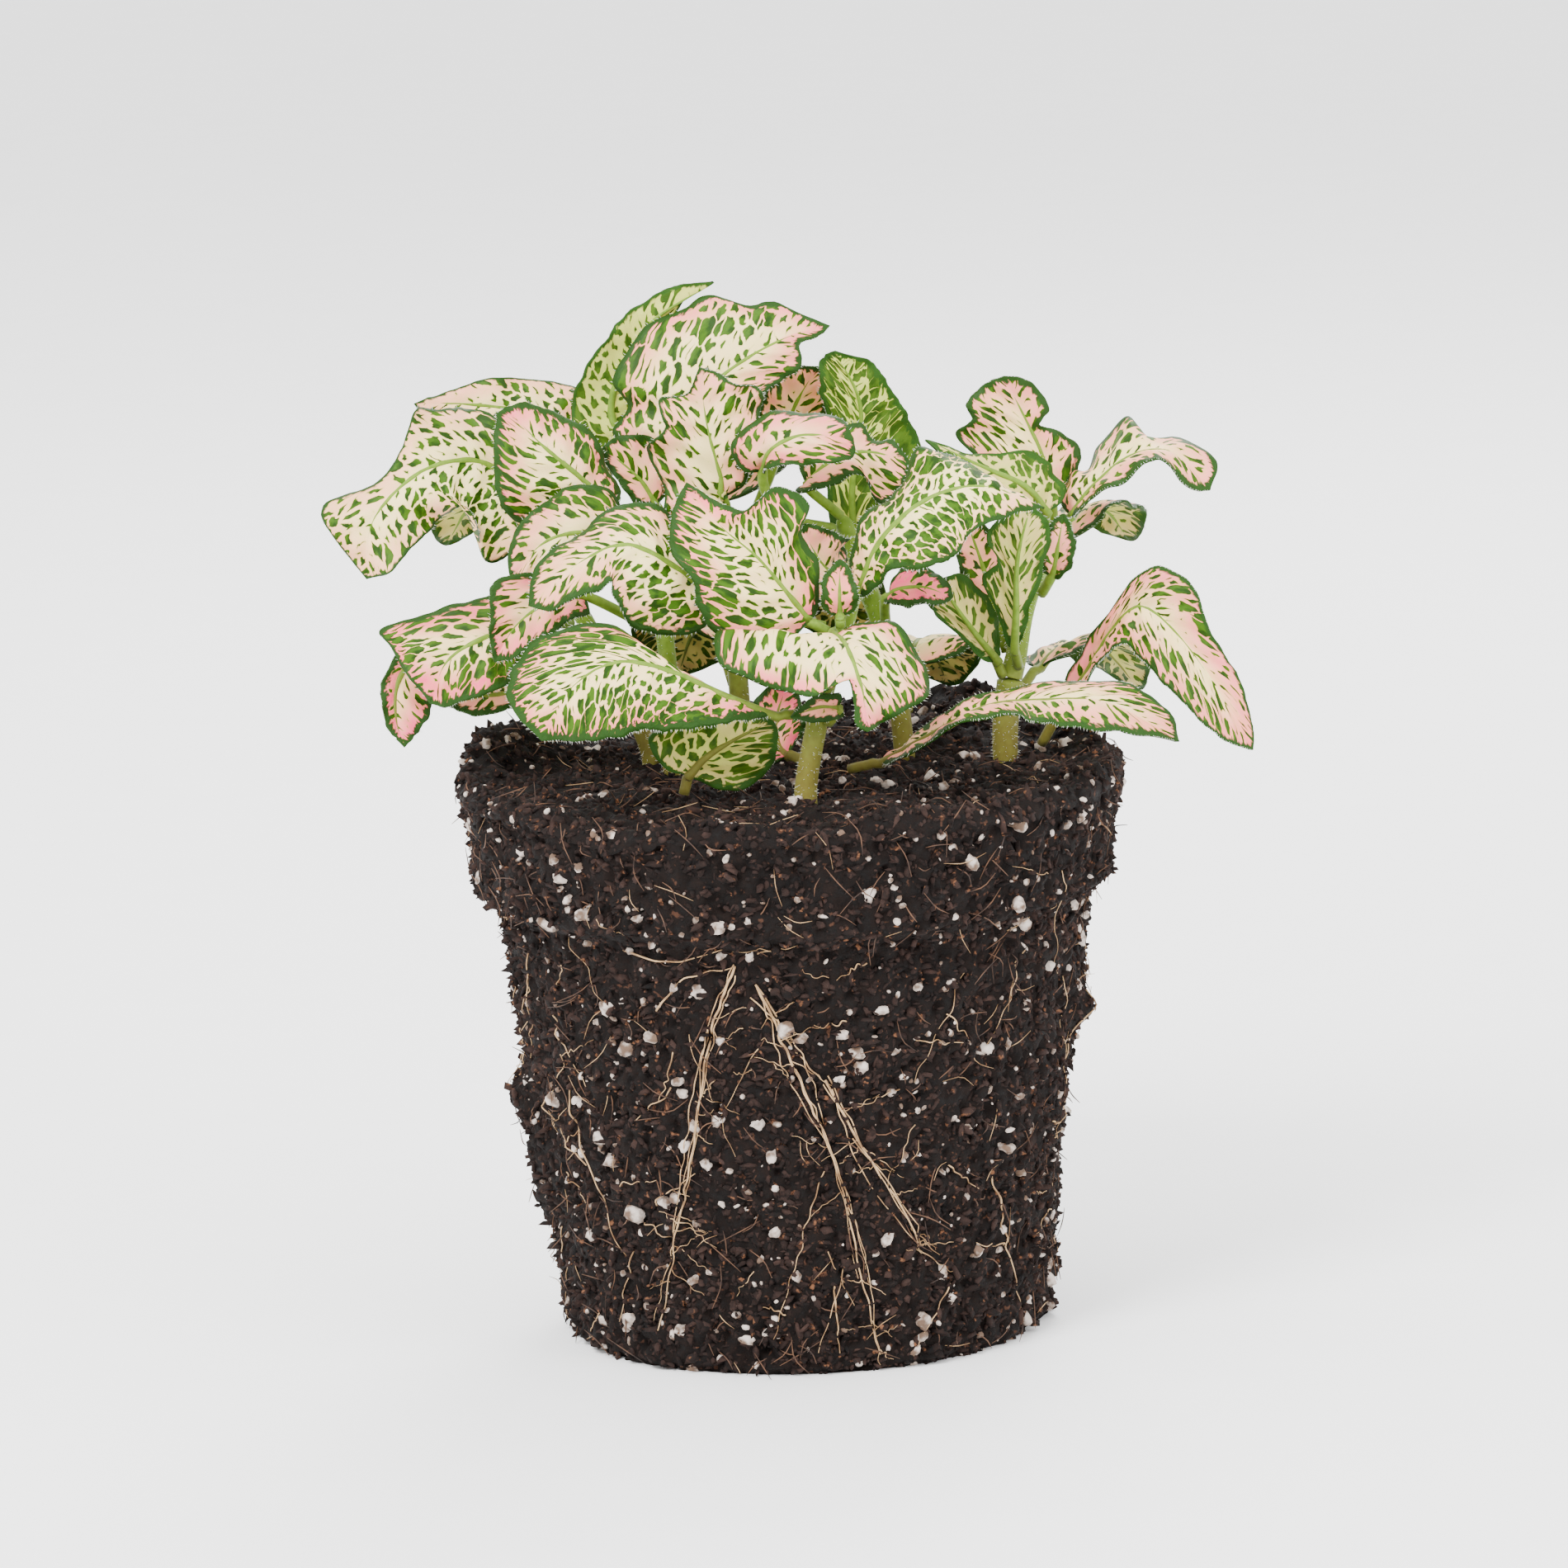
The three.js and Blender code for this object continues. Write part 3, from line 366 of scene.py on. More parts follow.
        "left": [(36.3, 2, 116), (35.9, 0, 121), (33.5, -1, 125.5), (30, -2, 128.4)],
        "right": [(33.5, 1, 113.5), (29, -1, 118), (25, -2, 122.5), (24, -2, 125.5)],
    },
    "leaf_right_upright": {
        "stalk": [(39.2, 2.6, 113)],
        "mid": [(38.6, -1, 115.5), (39, -5, 122), (39.5, -6, 131), (42, -5, 140)],
        "left": [(39.8, -2, 117), (41.2, -4.5, 122), (43.5, -5, 128), (45, -5, 133), (44.6, -5, 137)],
        "right": [
            (37, -2, 117), (35.7, -4, 122), (33.3, -4.5, 127.7), (36.4, -5, 130.5), (34.6, -5, 133.7),
            (35.4, -5, 136.8), (39, -5, 139.4),
        ],
    },
    "leaf_right_backward": {
        "stalk": [(44.4, 4.6, 135.6)],
        "mid": [(44.5, 2.5, 138.5), (41, 0, 143), (33, 0, 147), (24.5, 0, 151.5)],
        "left": [(48, 4, 142), (46.5, 4, 145.5), (43.3, 4, 148.4), (36.6, 3, 149.2), (31, 2, 149.2)],
        "right": [(43, 0.5, 138.4), (41, -2, 140), (36, -3, 142), (30, -2, 146.5)],
    },
    "leaf_right_tall": {
        "stalk": [(46, 10.3, 136)],
        "mid": [(46, 12, 141.5), (44.5, 13, 149), (41.5, 13, 156), (38.5, 12, 162.5)],
        "left": [
            (42, 11, 142.5), (36, 11, 147), (30, 12, 152.3), (32.6, 12, 155.4), (32, 12, 158),
            (35.6, 12, 161.4),
        ],
        "right": [
            (49, 12, 143), (51, 12, 147.5), (50, 12, 150.5), (47, 13, 153), (44.4, 13, 154.2),
            (46, 13, 156.3),
            (45, 13, 159), (41.8, 12, 162),
        ],
    },
    "leaf_right_far": {
        "stalk": [(48.2, 6, 134.5)],
        "mid": [(48.5, 5.5, 138), (52.5, 4, 143), (59, 3, 148), (66, 1, 148.4), (72.5, 0, 141.5)],
        "left": [
            (47.4, 9, 141.5), (49, 12, 146), (52, 13, 146.4), (55, 13, 150), (59, 11, 154.6),
            (62.5, 9, 152),
            (68, 6, 150.8), (73.4, 3, 146.5),
        ],
        "right": [
            (50, 3, 138.4), (53.5, 0, 141.5), (57.5, -2, 144), (62, -3, 147), (65.5, -3, 145.5),
            (69, -2, 142),
        ],
    },
    "leaf_low_left": {
        "stalk": [(-17.6, -25, 93.4)],
        "mid": [(-17, -25, 95.4), (-14, -25, 98.5), (-9, -25, 101.5), (-2.5, -26, 104.5)],
        "left": [(-13, -24, 93.2), (-7.5, -23, 93), (-3, -24, 96.5), (-1.8, -25, 101)],
        "right": [(-21, -25, 97), (-23.5, -26, 102), (-18, -27, 105.5), (-9, -27, 107)],
    },
}

# ---- Leaves behind and between them ----
# path: points along the midrib, from the foot of the petiole to the tip
# half: greatest width on each side of the midrib
# foot_face, tip_face: direction that the upper side faces, at the foot and at the tip
# stalk: share of the path that is petiole
# fold: (rise at the midrib, further rise towards the margin) of each half, in degrees


def plain_leaf(path, half, foot_face, tip_face, stalk=0.2, fold=(5, -12)):
    return {"path": path, "half": half, "face": (foot_face, tip_face), "stalk": stalk, "fold": fold}


PLAIN_LEAVES = {
    "leaf_middle_inner": plain_leaf(
        [(13, 5, 125.5), (10, -0.5, 128.5), (6.5, -4.5, 132), (3, -6.5, 139)],
        6.5, (0, -0.8, 0.6), (0, -0.9, 0.4), stalk=0.25, fold=(10, 0),
    ),
    "leaf_right_shaded": plain_leaf(
        [(17, 5.3, 120.5), (17.5, -2, 126), (23, -5, 127.5), (28.5, -5, 125.5)],
        4, (0, -0.7, 0.7), (0.1, -0.8, 0.6), stalk=0.3, fold=(5, 5),
    ),
    "leaf_young": plain_leaf(
        [(9.2, -20.9, 125), (9.2, -22.3, 129.5), (9.5, -21.5, 135.5)],
        3.2, (0, -0.95, 0.3), (0, -0.9, 0.4), stalk=0.1, fold=(15, 0),
    ),
    "leaf_right_inner": plain_leaf(
        [(44, 4.2, 124.5), (45.5, -1, 128.5), (46.5, -3.5, 134), (47.5, -4.5, 139)],
        3, (0, -0.95, 0.3), (0, -0.9, 0.4), stalk=0.25, fold=(10, 0),
    ),
    "leaf_right_tan": plain_leaf(
        [(37.2, 8.6, 114.5), (35, 9, 124), (33, 9, 131), (31, 8, 137)],
        4, (0, -0.9, 0.3), (0, -0.95, 0.3), stalk=0.25, fold=(8, 0),
    ),
    "leaf_low_middle": plain_leaf(
        [(1.9, -20.8, 101.5), (-1.5, -17.5, 103), (-2, -14, 107.5), (0.5, -12, 114)],
        5.5, (-0.2, -0.6, 0.8), (-0.1, -0.95, 0.3), fold=(5, 5),
    ),
    "leaf_back_centre_low": plain_leaf(
        [(-9.6, 21.9, 108), (-12.5, 30, 116.5), (-16, 38, 113.5), (-19, 45, 104.5)],
        12, (-0.1, 0.5, 0.85), (-0.2, 0.8, 0.5),
    ),
    "leaf_back_centre_high": plain_leaf(
        [(-14.5, 16.4, 136), (-22, 24, 145), (-30, 32, 146), (-36, 39, 139)],
        10, (-0.1, 0.5, 0.85), (-0.3, 0.7, 0.6),
    ),
    "leaf_back_top": plain_leaf(
        [(-11, 18, 133), (-9, 28, 142), (-7, 36, 148), (-5, 43, 145)],
        10, (0.1, 0.4, 0.9), (0.1, 0.7, 0.7),
    ),
    "leaf_back_middle": plain_leaf(
        [(-6.2, 21.2, 114), (2, 29, 121), (8, 37, 118), (12, 44, 109)],
        12, (0.1, 0.5, 0.85), (0.1, 0.8, 0.6),
    ),
    "leaf_back_right_low": plain_leaf(
        [(20.5, 12.2, 104), (22, 21, 113), (25, 31, 111), (28, 39, 102.5)],
        11, (0.1, 0.5, 0.85), (0.3, 0.7, 0.6),
    ),
    "leaf_back_right_high": plain_leaf(
        [(15.3, 11.3, 125), (20, 20, 135), (26, 28, 138), (32, 35, 132)],
        10, (0.1, 0.4, 0.9), (0.3, 0.6, 0.7),
    ),
    "leaf_back_left_low": plain_leaf(
        [(-29, 17, 106.5), (-33, 24, 115), (-39, 31, 113), (-44, 37, 105)],
        11, (-0.1, 0.4, 0.9), (-0.3, 0.6, 0.7),
    ),
    "leaf_back_left_high": plain_leaf(
        [(-42, 12, 134), (-47, 20, 140), (-53, 27, 139), (-58, 33, 131)],
        9, (-0.1, 0.3, 0.9), (-0.3, 0.6, 0.7),
    ),
    "leaf_back_side_high": plain_leaf(
        [(44.3, 10.8, 125), (49, 19, 134), (55, 26, 135), (60, 32, 128)],
        9, (0.1, 0.4, 0.9), (0.4, 0.6, 0.7),
    ),
    "leaf_back_side_low": plain_leaf(
        [(38.5, 8.8, 105), (46, 18, 112), (54, 25, 111), (61, 31, 102)],
        9, (0.1, 0.4, 0.9), (0.4, 0.6, 0.7),
    ),
}

# How a leaf differs from the common one: pink is how rosy its veins are, green how large its green
# cells are, rim how wide its green margin is, ripple how far its margin waves in mm, waves how many times
PLAIN = {"pink": 0.65, "green": 0.5, "rim": 0.85, "ripple": 0.7, "waves": 2.2}
LOOKS = {
    "leaf_front_left": {"pink": 0.85, "green": 0.95, "rim": 1.2},
    "leaf_front_low": {"pink": 0.8, "green": 0.25, "ripple": 1.4},
    "leaf_front_middle": {"pink": 0.85, "green": 0.75, "rim": 1.0},
    "leaf_left_front": {"pink": 0.6, "green": 0.55},
    "leaf_left_pink": {"pink": 1.0, "green": 0.9, "rim": 0.8},
    "leaf_left_hanging": {"pink": 0.9, "green": 0.6},
    "leaf_left_low": {"pink": 0.8, "green": 0.5},
    "leaf_left_far": {"pink": 0.45, "green": 0.45, "rim": 0.4, "ripple": 1.8, "waves": 2.6},
    "leaf_left_folded": {"pink": 0.8, "green": 0.6, "rim": 1.0},
    "leaf_left_upper": {"pink": 0.5, "green": 0.4, "rim": 0.4},
    "leaf_middle_green": {"pink": 0.0, "green": 1.1},
    "leaf_top_large": {"pink": 0.75, "green": 0.5, "rim": 0.8},
    "leaf_top_pale": {"pink": 0.6, "green": 0.3, "rim": 0.5, "ripple": 1.6, "waves": 3.0},
    "leaf_top_rolled": {"pink": 0.1, "green": 0.3, "rim": 0.45},
    "leaf_middle_curled": {"pink": 0.8, "green": 0.2},
    "leaf_right_large": {"pink": 0.45, "green": 1.0, "rim": 0.8},
    "leaf_right_long": {"pink": 0.7, "green": 0.7, "rim": 0.8},
    "leaf_right_arching": {"pink": 0.75, "green": 0.45, "rim": 0.4},
    "leaf_right_tall": {"pink": 0.7, "green": 0.5},
    "leaf_right_shaded": {"pink": 1.0, "green": 0.5},
    "leaf_low_middle": {"pink": 1.0, "green": 0.6},
    "leaf_young": {"pink": 0.75, "green": 0.9, "ripple": 0.2},
}

# ---- Roots on the ball's side: (bearing from the front in degrees, height), top to bottom ----

ROOTS = {
    "root_left": [(-12, 72.5), (-18, 60), (-23, 42), (-29, 26), (-37, 7)],
    "root_middle": [(-8, 69), (-1, 54), (6.5, 38), (13, 15), (17, 3)],
    "root_branch": [(5, 52), (12, 41), (24, 25), (27, 20)],
}

# ---- Curves and shared shapes ----


def curve_point(points, along):
    """A point on the smooth curve through the points, at a share of its length in steps."""
    steps = len(points) - 1
    place = min(max(along, 0.0), 1.0) * steps
    first = min(int(place), steps - 1)
    t = place - first
    p1, p2 = points[first], points[first + 1]
    p0 = points[first - 1] if first > 0 else p1 * 2 - p2
    p3 = points[first + 2] if first + 2 <= steps else p2 * 2 - p1
    m1, m2 = (p2 - p0) * 0.5, (p3 - p1) * 0.5
    return (
        p1 * (2 * t**3 - 3 * t**2 + 1)
        + m1 * (t**3 - 2 * t**2 + t)
        + p2 * (3 * t**2 - 2 * t**3)
        + m2 * (t**3 - t**2)
    )


def curve_direction(points, along):
    step = 0.001
    return (curve_point(points, along + step) - curve_point(points, along - step)).normalized()


def new_piece(name, bm, materials):
    """Makes the finished object: millimetres become metres, and the place stays in the mesh."""
    bmesh.ops.scale(bm, vec=(MM, MM, MM), verts=bm.verts)
    mesh = bpy.data.meshes.new(name)
    bm.to_mesh(mesh)
    bm.free()
    for material in materials:
        mesh.materials.append(material)
    mesh.shade_smooth()
    piece = bpy.data.objects.new(name, mesh)
    bpy.context.scene.collection.objects.link(piece)
    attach(piece, BODY)
    return piece


def rolled_tube(bm, points, radius_at, sides, steps, material=0):
    """Rolls a grid round a curve and closes its seam and ends. radius_at(share) is in mm."""
    points = [Vector(p) for p in points]
    uv = bm.loops.layers.uv.get("veins")
    grid = bmesh.ops.create_grid(bm, x_segments=sides, y_segments=steps, size=0.5)["verts"]
    side_axis = Vector((0.13, 0.97, 0.21)).normalized()
    for vert in grid:
        turn, along = (vert.co.x + 0.5) * 2 * math.pi, vert.co.y + 0.5
        forward = curve_direction(points, along)
        across = forward.cross(side_axis).normalized()
        up = across.cross(forward)
        out = across * math.cos(turn) + up * math.sin(turn)
        vert.co = curve_point(points, along) + out * radius_at(along)
    faces = list({face for vert in grid for face in vert.link_faces})
    for face in faces:
        face.material_index = material
        if uv:
            for loop in face.loops:
                loop[uv].uv = (loop.vert.co.z, 0.0)
    bmesh.ops.remove_doubles(bm, verts=grid, dist=0.0005)
    rims = [e for face in faces if face.is_valid for e in face.edges if e.is_boundary]
    caps = bmesh.ops.holes_fill(bm, edges=list(set(rims)), sides=sides)["faces"]
    for cap in caps:
        cap.material_index = material
    bmesh.ops.recalc_face_normals(bm, faces=[f for f in faces if f.is_valid] + caps)


# ---- Leaves ----


def outline(share, rise=0.5, fall=0.72):
    """Width of a blade at a share of its length, as a share of the greatest width."""
    broadest = rise / (rise + fall)
    greatest = broadest**rise * (1 - broadest) ** fall
    return share**rise * max(0.0, 1 - share) ** fall / greatest


def in_sight(point):
    x, y, sight = point
    return Vector((x, y, sight - SIGHT_SLOPE * y))


class Blade:
    """The curved surface of one leaf, spread between its midrib and its two margins."""

    def __init__(self, name, row):
        self.look = {**PLAIN, **LOOKS.get(name, {})}
        self.dice = random.Random(name)
        self.phase = {-1: self.dice.random(), 1: self.dice.random()}
        self.seed = self.dice.uniform(0, 500)
        self.sections = {}
        if "path" in row:
            self.spread_plain(row)
        else:
            self.spread_shaped(row)
        spots = [self.middle(i / 60) for i in range(61)]
        self.length = sum((b - a).length for a, b in zip(spots, spots[1:]))

    def spread_shaped(self, row):
        first, last = row["mid"][0], row["mid"][-1]
        midrib = [in_sight(p) for p in row["mid"]]
        margins = {
            -1: [in_sight(p) for p in (first, *row["left"], last)],
            1: [in_sight(p) for p in (first, *row["right"], last)],
        }
        self.foot = [in_sight(p) for p in (*row["stalk"], first)]
        self.middle = lambda share: curve_point(midrib, share)
        self.margin = lambda share, side: curve_point(margins[side], share)

    def spread_plain(self, row):
        path, stalk = [Vector(p) for p in row["path"]], row["stalk"]
        foot_face, tip_face = (Vector(f) for f in row["face"])

        def margin(share, side):
            forward = curve_direction(path, stalk + (1 - stalk) * share)
            up = foot_face.lerp(tip_face, share)
            up = (up - forward * up.dot(forward)).normalized()
            rise, curl = row["fold"]
            bend = math.radians(rise + curl / 2)
            spread = row["half"] * outline(share)
            across = forward.cross(up) * side
            place = self.middle(share) + across * (spread * math.cos(bend))
            return place + up * (spread * math.sin(bend))

        self.foot = [curve_point(path, stalk * part) for part in (0, 0.5, 1)]
        self.middle = lambda share: curve_point(path, stalk + (1 - stalk) * share)
        self.margin = margin

    def section(self, share):
        """Midrib point, margins with their fine scallops, and the way each half faces."""
        if share not in self.sections:
            near = min(max(share, 0.04), 0.96)
            forward = self.middle(near + 0.01) - self.middle(near - 0.01)
            middle, margins, faces = self.middle(share), {}, {}
            for side in (-1, 1):
                sideways = self.margin(near, side) - self.middle(near)
                faces[side] = (sideways.cross(forward) * side).normalized()
                out = self.margin(share, side) - middle
                scallop = noise.noise(Vector((share * self.length * SCALLOPS_PER_MM, side * 3, self.seed)))
                fine = noise.noise(Vector((share * self.length * TEETH_PER_MM, side * 5, self.seed)))
                stretch = (0.55 * scallop + 0.22 * fine) * min(1, 8 * share * (1 - share))
                margins[side] = middle + out + (out.normalized() * stretch if out.length > 1 else out * 0)
            faces[0] = (faces[-1] + faces[1]).normalized()
            self.sections[share] = middle, margins, faces
        return self.sections[share]

    def at(self, share, side, reach):
        """The surface point, the direction its upper side faces, and the width of that half."""
        middle, margins, faces = self.section(share)
        half = (margins[side] - middle).length
        facing = faces[0].lerp(faces[side], min(1.0, 3 * reach)).normalized()
        wave = math.sin(2 * math.pi * (self.look["waves"] * share + self.phase[side]))
        small_wave = math.sin(2 * math.pi * (2.7 * self.look["waves"] * share + self.phase[-side]))
        lift = self.look["ripple"] * (wave + 0.35 * small_wave) * reach**2 * min(1.0, half / 6)
        out = half * reach
        vein = math.cos(2 * math.pi * (share * self.length - VEIN_SLANT * out) / SIDE_VEIN_PITCH)
        quilt = -0.32 * vein * min(1.0, out / 2) * (1 - reach**3)
        groove = -0.4 * math.exp(-((out / 0.9) ** 2)) * (1 - share)
        bulge = BULGE * 4 * reach * (1 - reach) * half
        place = middle.lerp(margins[side], reach) + facing * (lift + quilt + groove + bulge)
        return place, facing, half


def leaf_piece(name, row, materials):
    blade = Blade(name, row)
    bm = bmesh.new()
    veins = bm.loops.layers.uv.new("veins")
    places = bm.loops.layers.uv.new("places")
    facing_layer = bm.verts.layers.float_vector.new("facing")
    mark = bm.verts.layers.float_vector.new("mark")
    tone = bm.verts.layers.float.new("pink")
    green = bm.verts.layers.float.new("green")
    rim_width = bm.verts.layers.float.new("rim")
    grid = bmesh.ops.create_grid(bm, x_segments=LEAF_COLUMNS, y_segments=LEAF_ROWS, size=0.5)["verts"]
    for vert in grid:
        share = round(vert.co.y + 0.5, 5)
        across = vert.co.x * 2
        side = 1 if across >= 0 else -1
        reach = abs(across)
        place, facing, half = blade.at(share, side, reach)
        out = half * reach
        end_gap = (1 - share) * blade.length * 0.8
        vert[mark] = (share * blade.length - VEIN_SLANT * out, side * out, min(half - out, end_gap))
        vert[facing_layer] = facing
        vert[tone] = blade.look["pink"]
        vert[green] = blade.look["green"]
        vert[rim_width] = blade.look["rim"]
        vert.co = place
    offset = blade.seed * 7
    for face in bm.faces:
        for loop in face.loops:
            along, out, gap = loop.vert[mark]
            loop[veins].uv = (along + offset, out)
            loop[places].uv = (along / max(blade.length, 1), gap)
    bmesh.ops.remove_doubles(bm, verts=bm.verts, dist=0.0005)
    bmesh.ops.dissolve_degenerate(bm, dist=0.0005, edges=bm.edges)
    bm.normal_update()
    for face in bm.faces:
        if face.normal.dot(face.verts[0][facing_layer] + face.verts[2][facing_layer]) < 0:
            face.normal_flip()
    # the under side is a copy, set back by the leaf's thickness and joined to the upper one at the margin
    rim = [edge for edge in bm.edges if edge.is_boundary]
    upper = bm.faces[:]
    copied = bmesh.ops.duplicate(bm, geom=bm.verts[:] + bm.edges[:] + upper)
    under = [item for item in copied["geom"] if isinstance(item, bmesh.types.BMFace)]
    for vert in {vert for face in under for vert in face.verts}:
        vert.co -= vert[facing_layer] * LEAF_THICKNESS
    bmesh.ops.reverse_faces(bm, faces=under)
    for face in under:
        face.material_index = 1
    rim += [edge for face in under for edge in face.edges if edge.is_boundary]
    bmesh.ops.bridge_loops(bm, edges=list(set(rim)))
    # petiole and midrib: one rib that runs on under the blade and thins out to the tip
    size = PETIOLE_RADIUS
    stalk = [*blade.foot, blade.middle(0.15)]
    foot_share = (len(blade.foot) - 1) / len(blade.foot)
    rib = [curve_point(stalk, foot_share * i / 6) for i in range(6)]
    rib[0] -= (rib[1] - rib[0]).normalized() * STALK_OVERRUN
    for i in range(13):
        middle, _, faces = blade.section(0.98 * i / 12)
        rib.append(middle - faces[0] * (LEAF_THICKNESS / 2 + 0.5 * size * (1 - i / 13)))

    def rib_radius(share):
        beyond = max(0.0, (share * 18 - 6) / 12)
        return size * (1 - beyond) ** 0.8 * (0.72 if beyond > 0.05 else 0.85) + 0.1

    rolled_tube(bm, rib, rib_radius, 8, 30, material=2)
    piece = new_piece(name + "_grown", bm, materials)
    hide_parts(name)
    return blade


# ---- Materials ----


def linear(colour):
    """An sRGB hex colour as linear red, green, blue and alpha."""
    channels = [int(colour[i : i + 2], 16) / 255 for i in (1, 3, 5)]
    return [c / 12.92 if c <= 0.04045 else ((c + 0.055) / 1.055) ** 2.4 for c in channels] + [1.0]


def node(tree, kind, settings=None, **links):
    """Adds a node. Settings are its properties; links are sockets, by number as _0 or by name."""
    made = tree.nodes.new(kind)
    for key, value in (settings or {}).items():
        setattr(made, key, value)
    for key, value in links.items():
        socket = made.inputs[int(key[1:]) if key[1:].isdigit() else key.replace("_", " ")]
        if isinstance(value, bpy.types.NodeSocket):
            tree.links.new(value, socket)
        else:
            socket.default_value = value
    return made


def new_material(name, **shader):
    material = bpy.data.materials.new(name)
    material.use_nodes = True
    tree = material.node_tree
    surface = tree.nodes["Principled BSDF"]
    for key, value in shader.items():
        surface.inputs[key.replace("_", " ")].default_value = value
    return material, tree, surface


def maths(tree, operation, first, second=0.0, clamp=False):
    settings = {"operation": operation, "use_clamp": clamp}
    return node(tree, "ShaderNodeMath", settings, _0=first, _1=second).outputs[0]


def blend_colour(tree, amount, first, second):
    made = node(tree, "ShaderNodeMix", {"data_type": "RGBA"}, _0=amount, _6=first, _7=second)
    return made.outputs[2]


def ramp(tree, value, low, high):
    """0 below low, 1 above high, smooth between. low and high may be sockets."""
    made = node(tree, "ShaderNodeMapRange", {"interpolation_type": "SMOOTHSTEP"}, _0=value, _1=low, _2=high)
    return made.outputs[0]


def leaf_side(name, palette, roughness, sheen):
    """Leaf skin: a pale vein net round green cells, with a green margin. Soft and satin, because
    the skin is waxy but finely pitted; the net's colour and the cells come from the vein map."""
    material, tree, surface = new_material(
        name, Roughness=roughness, IOR=1.42, Specular_IOR_Level=0.16, Sheen_Weight=sheen,
        Subsurface_Weight=0.05, Subsurface_Scale=0.0012,
    )
    uv = node(tree, "ShaderNodeUVMap", {"uv_map": "veins"}).outputs[0]
    spot = node(tree, "ShaderNodeUVMap", {"uv_map": "places"}).outputs[0]
    pink = node(tree, "ShaderNodeAttribute", {"attribute_name": "pink"}).outputs["Fac"]
    green = node(tree, "ShaderNodeAttribute", {"attribute_name": "green"}).outputs["Fac"]
    wobble = node(tree, "ShaderNodeTexNoise", {"noise_dimensions": "2D"}, Vector=uv, Scale=0.55, Detail=2.0)
    shift = node(
        tree, "ShaderNodeVectorMath", {"operation": "SUBTRACT"},
        _0=wobble.outputs["Color"], _1=(0.5, 0.5, 0.5),
    )
    shift = node(tree, "ShaderNodeVectorMath", {"operation": "SCALE"}, _0=shift.outputs[0], Scale=1.5)
    moved = node(tree, "ShaderNodeVectorMath", {"operation": "ADD"}, _0=uv, _1=shift.outputs[0]).outputs[0]
    split = node(tree, "ShaderNodeSeparateXYZ", None, _0=moved)
    raw = node(tree, "ShaderNodeSeparateXYZ", None, _0=uv)
    gap = node(tree, "ShaderNodeSeparateXYZ", None, _0=spot).outputs[1]
    out = maths(tree, "ABSOLUTE", raw.outputs[1])
    # cells: stretched along the side veins
    squeezed = node(
        tree, "ShaderNodeVectorMath", {"operation": "MULTIPLY"}, _0=moved,
        _1=(1 / CELL_ACROSS, 1 / CELL_ALONG, 1.0),
    ).outputs[0]
    cells = node(
        tree, "ShaderNodeTexVoronoi", {"voronoi_dimensions": "2D", "feature": "DISTANCE_TO_EDGE"},
        Vector=squeezed, Scale=1.0, Randomness=0.9,
    ).outputs["Distance"]
    # side veins: a line every pitch, with fewer cells on it
    phase = maths(tree, "DIVIDE", split.outputs[0], SIDE_VEIN_PITCH)
    line = maths(tree, "PINGPONG", phase, 0.5)
    line_gap = maths(tree, "MULTIPLY", line, SIDE_VEIN_PITCH)
    vein = maths(tree, "SUBTRACT", 1.0, ramp(tree, line_gap, 0.15, 0.75))
    # islands are small beside the midrib and grow towards the margin
    near_rib = maths(tree, "SUBTRACT", 1.0, ramp(tree, out, 0.4, 6.0))
    patch = node(tree, "ShaderNodeTexNoise", {"noise_dimensions": "2D"}, Vector=uv, Scale=0.22, Detail=1.0)
    patchy = maths(tree, "MULTIPLY", maths(tree, "SUBTRACT", patch.outputs[0], 0.5), 0.16)
    limit = maths(tree, "MULTIPLY_ADD", near_rib, 0.14)
    limit.node.inputs[2].default_value = palette["net"]
    limit = maths(tree, "ADD", limit, maths(tree, "MULTIPLY", vein, 0.1))
    chance = node(
        tree, "ShaderNodeTexVoronoi", {"voronoi_dimensions": "2D", "feature": "F1"},
        Vector=squeezed, Scale=1.0, Randomness=0.9,
    ).outputs["Color"]
    chance = node(tree, "ShaderNodeSeparateColor", None, _0=chance).outputs[0]
    chance = maths(tree, "MULTIPLY", maths(tree, "SUBTRACT", chance, 0.5), CELL_MIX)
    limit = maths(tree, "ADD", limit, chance)
    limit = maths(tree, "ADD", limit, patchy)
    limit = maths(tree, "SUBTRACT", limit, maths(tree, "MULTIPLY", green, 0.15))
    soft = maths(tree, "ADD", limit, 0.05)
    island = ramp(tree, cells, limit, soft)
    wide = maths(tree, "SUBTRACT", limit, 0.12)
    halo = ramp(tree, cells, wide, soft)
    # the net: cream beside the midrib, pink towards the margin
    rosy = ramp(tree, gap, 8.5, 0.8)
    rosy = maths(tree, "ADD", rosy, maths(tree, "MULTIPLY", pink, 0.15))
    rosy = maths(tree, "MULTIPLY", rosy, pink, clamp=True)
    net = blend_colour(tree, rosy, linear(palette["cream"]), linear(palette["rose"]))
    mottle = ramp(tree, patch.outputs[0], 0.35, 0.7)
    net = blend_colour(tree, maths(tree, "MULTIPLY", mottle, 0.12), net, linear(palette["halo"]))
    net = blend_colour(tree, maths(tree, "MULTIPLY", halo, 0.36), net, linear(palette["halo"]))
    cell_mix = ramp(tree, wobble.outputs[0], 0.35, 0.65)
    cell_tint = blend_colour(tree, cell_mix, linear(palette["cell"]), linear(palette["cell_light"]))
    colour = blend_colour(tree, island, net, cell_tint)
